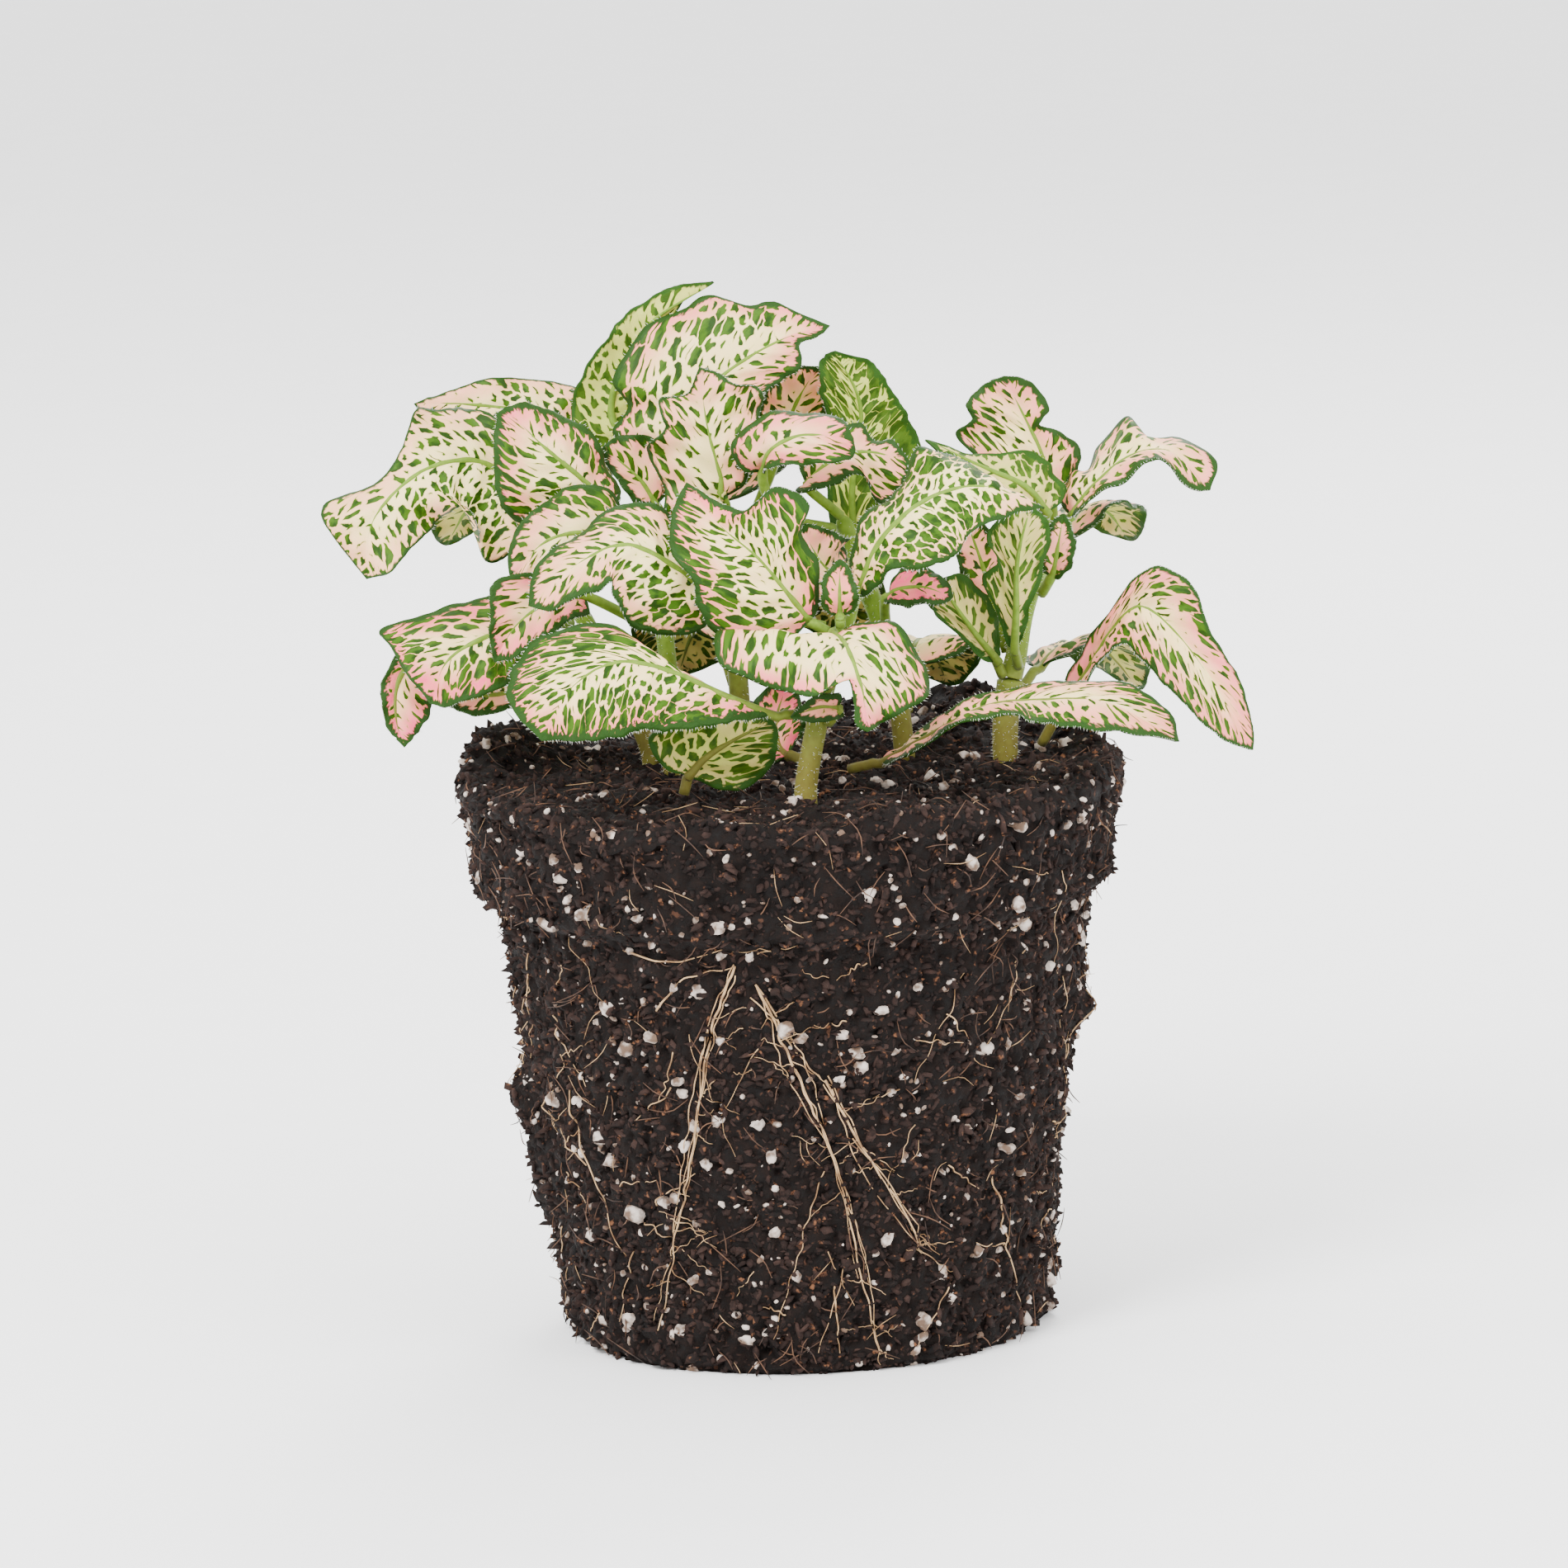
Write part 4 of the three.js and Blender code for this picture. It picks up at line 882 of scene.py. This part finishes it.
    # margin: a green rim whose inner edge is ragged
    rag = node(tree, "ShaderNodeTexNoise", {"noise_dimensions": "2D"}, Vector=uv, Scale=1.1, Detail=3.0)
    rag = rag.outputs[0]
    rim_width = node(tree, "ShaderNodeAttribute", {"attribute_name": "rim"}).outputs["Fac"]
    rim_edge = maths(tree, "MULTIPLY", maths(tree, "MULTIPLY", rag, 2 * MARGIN_BAND), rim_width)
    rim = maths(tree, "SUBTRACT", 1.0, ramp(tree, maths(tree, "SUBTRACT", gap, rim_edge), -0.15, 0.35))
    colour = blend_colour(tree, rim, colour, linear(palette["rim"]))
    tree.links.new(colour, surface.inputs["Base Color"])
    # relief: cells stand a little proud of the net, and the skin is finely pitted
    grain = node(tree, "ShaderNodeTexNoise", {"noise_dimensions": "2D"}, Vector=uv, Scale=5.0, Detail=2.0)
    grain = grain.outputs[0]
    height = maths(tree, "ADD", maths(tree, "MULTIPLY", island, 0.5), maths(tree, "MULTIPLY", grain, 0.5))
    bump = node(tree, "ShaderNodeBump", None, Strength=0.6, Distance=0.22 * MM, Height=height)
    tree.links.new(bump.outputs[0], surface.inputs["Normal"])
    return material


def stem_skin():
    """Fleshy stem: yellow-green, browner towards the soil, satin, with a faint sheen from its down."""
    material, tree, surface = new_material(
        "fleshy green stem", Roughness=0.5, IOR=1.42, Specular_IOR_Level=0.2, Sheen_Weight=0.04,
        Subsurface_Weight=0.05, Subsurface_Scale=0.001,
    )
    place = node(tree, "ShaderNodeTexCoord").outputs["Object"]
    height = node(tree, "ShaderNodeSeparateXYZ", None, _0=place).outputs[2]
    low = ramp(tree, height, 0.122, 0.098)
    streak = node(tree, "ShaderNodeTexNoise", None, Vector=place, Scale=900.0, Detail=3.0).outputs[0]
    tint = blend_colour(tree, streak, linear("#49680f"), linear("#7f9c35"))
    colour = blend_colour(tree, maths(tree, "MULTIPLY", low, 0.6), tint, linear("#6a3f2c"))
    tree.links.new(colour, surface.inputs["Base Color"])
    bump = node(tree, "ShaderNodeBump", None, Strength=0.3, Distance=0.15 * MM, Height=streak)
    tree.links.new(bump.outputs[0], surface.inputs["Normal"])
    return material


def peat(name, dark, light, fleck):
    """Damp peat mix: near-black crumbs with browner fibres, matt with a few moist glints."""
    material, tree, surface = new_material(name, Roughness=0.85, IOR=1.45, Specular_IOR_Level=0.2)
    place = node(tree, "ShaderNodeTexCoord").outputs["Object"]
    crumbs = node(tree, "ShaderNodeTexNoise", None, Vector=place, Scale=620.0, Detail=6.0, Roughness=0.7)
    crumbs = crumbs.outputs[0]
    clods = node(tree, "ShaderNodeTexNoise", None, Vector=place, Scale=110.0, Detail=2.0).outputs[0]
    flecks = node(tree, "ShaderNodeTexNoise", None, Vector=place, Scale=700.0, Detail=2.0).outputs[0]
    tone = node(tree, "ShaderNodeAttribute", {"attribute_name": "tone"}).outputs["Fac"]
    shade = maths(tree, "MULTIPLY", ramp(tree, crumbs, 0.35, 0.7), 0.5)
    shade = maths(tree, "ADD", shade, maths(tree, "MULTIPLY", tone, 0.6), clamp=True)
    colour = blend_colour(tree, shade, linear(dark), linear(light))
    darker = maths(tree, "MULTIPLY", ramp(tree, clods, 0.45, 0.7), 0.35)
    colour = blend_colour(tree, darker, colour, linear(dark))
    flecked = maths(tree, "MULTIPLY", ramp(tree, flecks, 0.63, 0.72), 0.7)
    colour = blend_colour(tree, flecked, colour, linear(fleck))
    tree.links.new(colour, surface.inputs["Base Color"])
    tree.links.new(ramp(tree, crumbs, 0.2, 0.6), surface.inputs["Roughness"])
    surface.inputs["Roughness"].links[0].from_node.inputs[3].default_value = 0.62
    surface.inputs["Roughness"].links[0].from_node.inputs[4].default_value = 0.95
    bump = node(tree, "ShaderNodeBump", None, Strength=0.9, Distance=0.6 * MM, Height=crumbs)
    tree.links.new(bump.outputs[0], surface.inputs["Normal"])
    return material


def perlite_grain():
    """Perlite: puffed volcanic glass, chalky off-white with fine pits and soil in the hollows."""
    material, tree, surface = new_material("expanded perlite", Roughness=0.9, IOR=1.5)
    place = node(tree, "ShaderNodeTexCoord").outputs["Object"]
    pits = node(tree, "ShaderNodeTexVoronoi", None, Vector=place, Scale=1500.0).outputs["Distance"]
    stain = node(tree, "ShaderNodeTexNoise", None, Vector=place, Scale=450.0, Detail=4.0).outputs[0]
    colour = blend_colour(tree, ramp(tree, stain, 0.38, 0.62), linear("#bcafa5"), linear("#5c4738"))
    tree.links.new(colour, surface.inputs["Base Color"])
    bump = node(tree, "ShaderNodeBump", None, Strength=0.6, Distance=0.25 * MM, Height=pits)
    tree.links.new(bump.outputs[0], surface.inputs["Normal"])
    return material


def root_skin(name, pale, dark):
    """Dry root or fibre: pale tan bark with darker streaks, matt."""
    material, tree, surface = new_material(name, Roughness=0.75, IOR=1.45)
    place = node(tree, "ShaderNodeTexCoord").outputs["Object"]
    streak = node(tree, "ShaderNodeTexNoise", None, Vector=place, Scale=350.0, Detail=4.0).outputs[0]
    colour = blend_colour(tree, ramp(tree, streak, 0.35, 0.7), linear(pale), linear(dark))
    tree.links.new(colour, surface.inputs["Base Color"])
    bump = node(tree, "ShaderNodeBump", None, Strength=0.5, Distance=0.2 * MM, Height=streak)
    tree.links.new(bump.outputs[0], surface.inputs["Normal"])
    return material


def hair_skin():
    """Plant hair: colourless and glassy, so that a mass of it looks silvery white."""
    material, tree, surface = new_material("silvery plant hair", Roughness=0.35, IOR=1.45)
    place = node(tree, "ShaderNodeTexCoord").outputs["Object"]
    along = node(tree, "ShaderNodeTexNoise", None, Vector=place, Scale=900.0, Detail=1.0).outputs[0]
    colour = blend_colour(tree, along, linear("#d9dccb"), linear("#f4f3ea"))
    tree.links.new(colour, surface.inputs["Base Color"])
    return material


def pale_floor():
    """Matt white studio board."""
    material, tree, surface = new_material("matt studio board", Roughness=0.9)
    place = node(tree, "ShaderNodeTexCoord").outputs["Object"]
    grain = node(tree, "ShaderNodeTexNoise", None, Vector=place, Scale=60.0, Detail=2.0).outputs[0]
    colour = blend_colour(tree, grain, linear("#fbfbfb"), linear("#ffffff"))
    tree.links.new(colour, surface.inputs["Base Color"])
    return material


UPPER = {
    "cream": "#ffe9a2", "rose": "#f8587c", "halo": "#c3cc48", "cell": "#1d3a04",
    "cell_light": "#3a5e0a", "rim": "#213f10", "net": 0.205,
}
UNDER = {
    "cream": "#c2c85c", "rose": "#d3b277", "halo": "#a3b24b", "cell": "#2b4808",
    "cell_light": "#466414", "rim": "#274a10", "net": 0.15,
}

leaf_top = leaf_side("waxy leaf skin, upper side", UPPER, 0.45, 0.0)
leaf_under = leaf_side("leaf skin, under side", UNDER, 0.55, 0.03)
stem_flesh = stem_skin()
peat_bulk = peat("damp peat potting mix", "#030202", "#1e1410", "#4a3023")
peat_crumb = peat("peat and bark crumbs", "#030202", "#3b2b26", "#7c5238")
perlite = perlite_grain()
root_bark = root_skin("dry root bark", "#b6966e", "#745536")
plant_hair = hair_skin()
fibre_bark = root_skin("coir fibre", "#5d3f2a", "#241610")

leaf_finish = [leaf_top, leaf_under, stem_flesh]
blades = {
    name: leaf_piece(name, row, leaf_finish) for name, row in {**SHAPED_LEAVES, **PLAIN_LEAVES}.items()
}

# ---- Stems ----

for name, (low_radius, top_radius, points) in STEMS.items():
    bm = bmesh.new()

    def stem_radius(share, low=low_radius, top=top_radius):
        node_swell = 0.18 * math.exp(-(((share - 0.78) / 0.05) ** 2))
        end = min(1.0, (1.0 - share) / 0.03) ** 0.5
        return (low + (top - low) * share + node_swell) * max(0.2, end)

    rolled_tube(bm, points, stem_radius, STEM_SIDES, STEM_STEPS)
    stem = new_piece(name + "_grown", bm, [stem_flesh])
    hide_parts(name)

# ---- Root ball ----

BALL_SIDE = [
    (0.0, 0.0),
    (FOOT_RADIUS - 1.5, 0.0),
    (FOOT_RADIUS, 1.5),
    (WAIST_RADIUS, BAND_BOTTOM - SHOULDER),
    (RIM_RADIUS - BAND_DRAFT, BAND_BOTTOM),
    (RIM_RADIUS - 0.6, BALL_HEIGHT - 2),
    (RIM_RADIUS - 2.6, BALL_HEIGHT),
    (RIM_RADIUS - 9, SOIL_LEVEL),
    (0.0, SOIL_LEVEL),
]


def profile_walk(share):
    """Radius and height on the ball's profile at a share of its length."""
    gaps = [math.dist(a, b) for a, b in zip(BALL_SIDE, BALL_SIDE[1:])]
    left = share * sum(gaps)
    for (a, b), gap in zip(zip(BALL_SIDE, BALL_SIDE[1:]), gaps):
        if left <= gap:
            return a[0] + (b[0] - a[0]) * left / gap, a[1] + (b[1] - a[1]) * left / gap
        left -= gap
    return BALL_SIDE[-1]


def side_radius(height):
    for (r0, z0), (r1, z1) in zip(BALL_SIDE[1:], BALL_SIDE[2:]):
        if z0 <= height <= z1:
            return r0 + (r1 - r0) * (height - z0) / max(z1 - z0, 1e-6)
    return RIM_RADIUS


# heaps and hollows on top: (x, y, rise, width)
MOUNDS = [
    (-49, 12, 5.0, 9), (-44, 26, 3.5, 8), (32, 44, 4.5, 11),
    (18, -50, 1.0, 8), (-30, -46, -2.0, 10), (5, -50, -1.5, 8),
]


# clods on the side: (bearing from the front in degrees, height, how far it stands out, width)
CLODS = [
    (-86, 41, 4.5, 5), (-80, 33, 2.5, 4), (-88, 24, 2.4, 4),
    (84, 54, 2.8, 4), (90, 7, 2.0, 5), (150, 60, 3.0, 5),
]


def crumble(place):
    """How far the soil stands out of the smooth ball at a place, in mm."""
    cloud = noise.noise(place * 0.09) * 1.1
    clod = noise.noise(place * 0.33 + Vector((7, 3, 1))) * 1.1
    crumb = noise.noise(place * 0.9 + Vector((1, 9, 4))) * 0.55
    pit = max(0.0, noise.noise(place * 0.55 + Vector((5, 2, 8))) - 0.18) * -3.0
    return cloud + clod + crumb + pit - 0.5


def soil_place(angle, radius, height):
    smooth = Vector((radius * math.sin(angle), -radius * math.cos(angle), height))
    top = height > BALL_HEIGHT - 3.2
    tilt = 1.0 if top else 0.0
    outward = Vector((math.sin(angle) * (1 - tilt), -math.cos(angle) * (1 - tilt), tilt)).normalized()
    if height <= 0.01:
        return smooth
    place = smooth + outward * crumble(smooth)
    if top:
        for x, y, rise, width in MOUNDS:
            place.z += rise * math.exp(-((smooth.x - x) ** 2 + (smooth.y - y) ** 2) / width**2)
    else:
        for bearing, level, rise, width in CLODS:
            turn = (angle - math.radians(bearing) + math.pi) % (2 * math.pi) - math.pi
            place += outward * rise * math.exp(-((turn * radius) ** 2 + (height - level) ** 2) / width**2)
    place.z = max(place.z, 0.0)
    return place


def ball_surface():
    bm = bmesh.new()
    grid = bmesh.ops.create_grid(bm, x_segments=BALL_COLUMNS, y_segments=BALL_ROWS, size=0.5)["verts"]
    foot_part = 0.17  # the plain foot takes few of the rings
    for vert in grid:
        share = vert.co.y + 0.5
        if share < 0.05:
            share = share * 4 * foot_part
        else:
            share = 0.2 * foot_part + (share - 0.05) * (1 - 0.2 * foot_part) / 0.95
        radius, height = profile_walk(share)
        vert.co = soil_place((vert.co.x + 0.5) * 2 * math.pi, radius, height)
    bmesh.ops.remove_doubles(bm, verts=bm.verts, dist=0.002)
    bmesh.ops.recalc_face_normals(bm, faces=bm.faces)
    tone = bm.verts.layers.float.new("tone")
    for vert in bm.verts:
        vert[tone] = 0.25
    ball = new_piece("root_ball_soil", bm, [peat_bulk])
    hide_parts("root_ball")
    return ball


def template(cuts, seed, roughness):
    """A lumpy grain of about 1 mm across: its points and faces. With cuts it is rounded off."""
    bm = bmesh.new()
    if cuts:
        bmesh.ops.create_cube(bm, size=1.0)
        bmesh.ops.subdivide_edges(bm, edges=bm.edges, cuts=cuts, use_grid_fill=True)
        for vert in bm.verts:
            vert.co = vert.co.normalized() * 0.5
    else:
        bmesh.ops.create_icosphere(bm, subdivisions=1, radius=0.5)
    bm.verts.index_update()
    for vert in bm.verts:
        vert.co *= 1 + roughness * noise.noise(vert.co * 3.1 + Vector((seed * 5.3, seed, 0)))
    points = np.array([vert.co[:] for vert in bm.verts])
    faces = np.array([[vert.index for vert in face.verts] for face in bm.faces])
    bm.free()
    return points, faces


def scatter(name, templates, placements, material):
    """Joins many copies of small shapes into one piece. A placement is (matrix, tone)."""
    points, faces, tones, start = [], [], [], 0
    for number, (matrix, tone) in enumerate(placements):
        shape, corners = templates[number % len(templates)]
        turned = shape @ np.array(matrix.to_3x3()).T + np.array(matrix.translation)
        points.append(turned)
        faces.append(corners + start)
        tones.append(np.full(len(shape), tone))
        start += len(shape)
    points, faces, tones = np.concatenate(points) * MM, np.concatenate(faces), np.concatenate(tones)
    points[:, 2] = np.maximum(points[:, 2], 0.0)
    mesh = bpy.data.meshes.new(name)
    mesh.from_pydata(points.tolist(), [], faces.tolist())
    mesh.attributes.new("tone", "FLOAT", "POINT").data.foreach_set("value", tones)
    mesh.materials.append(material)
    mesh.shade_smooth()
    piece = bpy.data.objects.new(name, mesh)
    bpy.context.scene.collection.objects.link(piece)
    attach(piece, BODY)
    return piece


def spot_on_ball(dice, top_share):
    """A random place on the soil: the point, and the way out of the ball there."""
    angle = dice.uniform(-math.pi, math.pi)
    if dice.random() < top_share:
        radius = (RIM_RADIUS - 2) * math.sqrt(dice.random())
        height = SOIL_LEVEL + (BALL_HEIGHT - SOIL_LEVEL) * max(0.0, (radius - RIM_RADIUS + 9) / 7)
        return soil_place(angle, radius, max(height, BALL_HEIGHT - 3.1)), Vector((0, 0, 1))
    height = BALL_HEIGHT * dice.random() ** 0.95
    radius = side_radius(height)
    return soil_place(angle, radius, height), Vector((math.sin(angle), -math.cos(angle), 0))


def grain_matrix(dice, place, outward, size, stretch, sink):
    angle = dice.uniform(0, 6.28)
    axis = (dice.uniform(-1, 1), dice.uniform(-1, 1), dice.uniform(-1, 1) + 0.01)
    turn = Matrix.Rotation(angle, 4, axis)
    scale = Matrix.Diagonal((size * stretch, size * dice.uniform(0.6, 1.0), size * dice.uniform(0.5, 0.9), 1))
    return Matrix.Translation(place - outward * sink) @ turn @ scale


def crumbs(name, count, seed, top_share):
    dice = random.Random(seed)
    placements = []
    for _ in range(count):
        place, outward = spot_on_ball(dice, top_share)
        size = dice.choice((0.6, 0.8, 1.0, 1.3, 1.8))
        matrix = grain_matrix(dice, place, outward, size, dice.uniform(0.8, 2.2), 0.15 * size)
        placements.append((matrix, dice.random() ** 2))
    return scatter(name, [template(0, k, 0.8) for k in range(5)], placements, peat_crumb)


def perlite_grains(name, count, seed, cuts, sizes):
    dice = random.Random(seed)
    placements = []
    for _ in range(count):
        place, outward = spot_on_ball(dice, 0.16)
        size = dice.uniform(*sizes)
        matrix = grain_matrix(dice, place, outward, size, dice.uniform(0.9, 1.3), 0.12 * size)
        placements.append((matrix, 1.0))
    return scatter(name, [template(cuts, k + 11, 0.45) for k in range(6)], placements, perlite)


ball_surface()
for batch in range(CRUMB_BATCHES):
    crumbs(f"soil_crumbs_side_{batch + 1}", CRUMBS_PER_BATCH, 11 + batch, 0.0)
crumbs("soil_crumbs_top", TOP_CRUMBS, 31, 1.0)
perlite_grains("perlite_large", LARGE_PERLITE, 21, 2, (1.7, 3.5))
perlite_grains("perlite_small", SMALL_PERLITE, 22, 1, (0.5, 1.7))


def fibres(name, count, seed, length_range, radius, material, stand_off):
    """Thin bent fibres that lie on the ball or stick out of it a little."""
    dice = random.Random(seed)
    bm = bmesh.new()
    for _ in range(count):
        place, outward = spot_on_ball(dice, 0.2)
        way = Vector((dice.uniform(-1, 1), dice.uniform(-1, 1), dice.uniform(-1, 1)))
        along = outward.cross(way).normalized()
        sideways = outward.cross(along)
        length = dice.uniform(*length_range)
        bow, lift = dice.uniform(-0.3, 0.3) * length, dice.uniform(*stand_off)
        end_lift = lift * dice.uniform(0.0, 3.0)
        points = [
            place - along * length / 2 + outward * 0.2,
            place + sideways * bow * 0.6 + outward * lift,
            place + along * length / 2 + outward * end_lift,
        ]
        points = [Vector((p.x, p.y, max(p.z, radius + 0.05))) for p in points]
        rolled_tube(bm, points, lambda s: radius * (1 - 0.6 * abs(2 * s - 1)), 3, 5)
    piece = new_piece(name, bm, [material])
    return piece


fibres("peat_fibres_dark", DARK_FIBRES, 31, (2, 8), 0.14, fibre_bark, (0.4, 1.4))
fibres("peat_fibres_pale", PALE_FIBRES, 32, (3, 8), 0.09, root_bark, (0.4, 1.2))

# ---- Roots on the ball's side ----


def on_side(bearing, height, stand_off):
    angle = math.radians(bearing)
    place = soil_place(angle, side_radius(height), height)
    return place + Vector((math.sin(angle), -math.cos(angle), 0)) * stand_off


def root_strand(bm, route, radius, wander, seed, sides=7):
    """A root along (bearing, height) points, pressed on the soil and wandering a little."""
    dice = random.Random(seed)
    coarse = [Vector((bearing, height, 0)) for bearing, height in route]
    count = max(8, int(sum((b - a).length for a, b in zip(coarse, coarse[1:])) / 2.2))
    points = []
    for i in range(count + 1):
        spot = curve_point(coarse, i / count)
        sway = Vector((dice.uniform(-1, 1) * wander, dice.uniform(-1, 1) * wander))
        height = min(max(spot.y + sway.y, 1.2), 96.0)
        points.append(on_side(spot.x + sway.x, height, 0.25 + dice.uniform(0, 0.5)))
    rolled_tube(bm, points, lambda s: radius * (1 - 0.55 * s), sides, count * 3)
    return points


def root_piece(name, route, seed):
    dice = random.Random(seed)
    bm = bmesh.new()
    root_strand(bm, route, 0.24, 0.22, seed)
    for twin in range(3):  # finer strands that run beside the main one
        part = route[twin % 2 : 4 + twin % 2]
        beside = [(b + dice.uniform(-1.8, 1.8), h + dice.uniform(-3, 3)) for b, h in part]
        root_strand(bm, beside, 0.13, 0.35, seed + twin + 1, 5)
    middle = [Vector((b, h, 0)) for b, h in route]
    for k in range(14):  # side rootlets
        start = curve_point(middle, dice.uniform(0.1, 1.0))
        way = dice.choice((-1, 1))
        reach = dice.uniform(3, 9)
        slope = dice.uniform(-0.7, 0.5)
        branch = [(start.x + way * reach * t, start.y + slope * reach * t) for t in (0, 0.5, 1)]
        root_strand(bm, branch, dice.uniform(0.07, 0.12), 0.3, seed * 31 + k, 4)
    piece = new_piece(name + "_grown", bm, [root_bark])
    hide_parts(name)


for number, (name, route) in enumerate(ROOTS.items()):
    root_piece(name, route, 101 + 17 * number)


def fine_roots(name, count, seed):
    """Thin roots all round the ball, most of them running down or across."""
    dice = random.Random(seed)
    bm = bmesh.new()
    for k in range(count):
        bearing, height = dice.uniform(-180, 180), dice.uniform(8, 84)
        slope, reach = dice.uniform(-2.6, 0.6), dice.uniform(3, 13)
        way = dice.choice((-1, 1))
        end = max(2.0, height + slope * reach)
        half_way = (bearing + way * reach * 0.5, (height + end) / 2)
        branch = [(bearing, height), half_way, (bearing + way * reach, end)]
        root_strand(bm, branch, dice.uniform(0.08, 0.17), 0.4, seed + k, 4)
    piece = new_piece(name, bm, [root_bark])


fine_roots("fine_roots", FINE_ROOTS, 900)

# thin single roots: two beside the main ones, one at the foot, one to the branch, two under the shoulder
THIN_ROOTS = [
    [(-58, 47), (-53, 34), (-46, 19)],
    [(46, 31), (52, 18), (63, 5)],
    [(6, 16), (6.5, 10), (7, 4)],
    [(-8, 69), (-2, 59), (5, 51), (12, 41)],
    [(-35, 74), (-24, 73), (-14, 75)],
    [(-29, 64), (-22, 70), (-12, 72)],
]
bm = bmesh.new()
for number, route in enumerate(THIN_ROOTS):
    root_strand(bm, route, 0.19, 0.25, 1300 + number, 5)
new_piece("thin_roots", bm, [root_bark])

# ---- Hairs on the margins and stems ----


def hair_shape():
    """A fine tapered bristle, 1 mm long, standing on the origin."""
    bm = bmesh.new()
    bmesh.ops.create_cone(bm, segments=3, radius1=0.035, radius2=0.01, depth=1.0, cap_ends=True)
    bmesh.ops.translate(bm, vec=(0, 0, 0.45), verts=bm.verts)
    bmesh.ops.triangulate(bm, faces=bm.faces)
    bm.verts.index_update()
    points = np.array([vert.co[:] for vert in bm.verts])
    faces = np.array([[vert.index for vert in face.verts] for face in bm.faces])
    bm.free()
    return points, faces


def hair_at(dice, place, outward):
    lean = Vector((dice.uniform(-1, 1), dice.uniform(-1, 1), dice.uniform(-1, 1))) * 0.45
    turn = (outward + lean).to_track_quat("Z", "Y").to_matrix().to_4x4()
    size = Matrix.Diagonal((1, 1, HAIR_LENGTH * dice.uniform(0.5, 1.2), 1))
    return Matrix.Translation(place) @ turn @ size, 1.0


dice = random.Random(77)
margin_hairs, stem_hairs = [], []
for blade in blades.values():
    count = int(blade.length * HAIRS_PER_MM)
    for k in range(count):
        share = 0.03 + 0.96 * (k + dice.random()) / count
        for side in (-1, 1):
            inner, edge = blade.at(share, side, 0.9)[0], blade.at(share, side, 1.0)[0]
            if (edge - inner).length > 0.05:
                margin_hairs.append(hair_at(dice, edge, (edge - inner).normalized()))
for low_radius, top_radius, points in STEMS.values():
    route = [Vector(p) for p in points]
    for k in range(HAIRS_PER_STEM):
        along = dice.uniform(0.15, 0.98)
        forward = curve_direction(route, along)
        way = Vector((dice.uniform(-1, 1), dice.uniform(-1, 1), dice.uniform(-1, 1)))
        outward = forward.cross(way).normalized()
        radius = low_radius + (top_radius - low_radius) * along
        stem_hairs.append(hair_at(dice, curve_point(route, along) + outward * (radius - 0.05), outward))
scatter("margin_hairs", [hair_shape()], margin_hairs, plant_hair)
scatter("stem_hairs", [hair_shape()], stem_hairs, plant_hair)

# ---- Floor, light and camera ----

bm = bmesh.new()
bmesh.ops.create_grid(bm, x_segments=1, y_segments=1, size=3.0)
floor_mesh = bpy.data.meshes.new("floor")
bm.to_mesh(floor_mesh)
bm.free()
floor_mesh.materials.append(pale_floor())
floor = bpy.data.objects.new("floor", floor_mesh)
bpy.context.scene.collection.objects.link(floor)

world = bpy.data.worlds.new("soft studio")
world.use_nodes = True
world.node_tree.nodes["Background"].inputs["Color"].default_value = (1.0, 1.0, 1.0, 1.0)
world.node_tree.nodes["Background"].inputs["Strength"].default_value = 2.3
bpy.context.scene.world = world


def softbox(name, place, aim, size, power):
    light = bpy.data.lights.new(name, "AREA")
    light.shape = "DISK"
    light.size = size
    light.energy = power
    lamp = bpy.data.objects.new(name, light)
    aimed = (Vector(aim) - Vector(place)).to_track_quat("-Z", "Y").to_matrix().to_4x4()
    lamp.matrix_world = Matrix.Translation(place) @ aimed
    bpy.context.scene.collection.objects.link(lamp)


MIDDLE = (0, 0, 0.1)
softbox("key_light", (-0.45, -0.75, 0.95), MIDDLE, 0.45, 22)
softbox("fill_light", (0.8, -0.7, 0.5), MIDDLE, 0.6, 6)
softbox("back_light", (0.2, 0.8, 0.8), MIDDLE, 0.5, 10)

# The camera looks at the plant from in front and a little above, and is tipped slightly
CAMERA_AIM = Vector((-1.1, 0, 93.4)) * MM
CAMERA_DISTANCE = 1.8
CAMERA_RISE = math.radians(11)
CAMERA_ROLL = math.radians(-1.9)
VIEW_WIDTH = 0.266  # what the frame spans at the plant
SENSOR_WIDTH = 36.0
camera_data = bpy.data.cameras.new("camera")
camera_data.sensor_width = SENSOR_WIDTH
camera_data.lens = SENSOR_WIDTH * CAMERA_DISTANCE / VIEW_WIDTH
camera = bpy.data.objects.new("camera", camera_data)
away = Vector((0, -math.cos(CAMERA_RISE), math.sin(CAMERA_RISE)))
aimed = (-away).to_track_quat("-Z", "Y").to_matrix().to_4x4() @ Matrix.Rotation(CAMERA_ROLL, 4, "Z")
camera.matrix_world = Matrix.Translation(CAMERA_AIM + away * CAMERA_DISTANCE) @ aimed
bpy.context.scene.collection.objects.link(camera)
bpy.context.scene.camera = camera
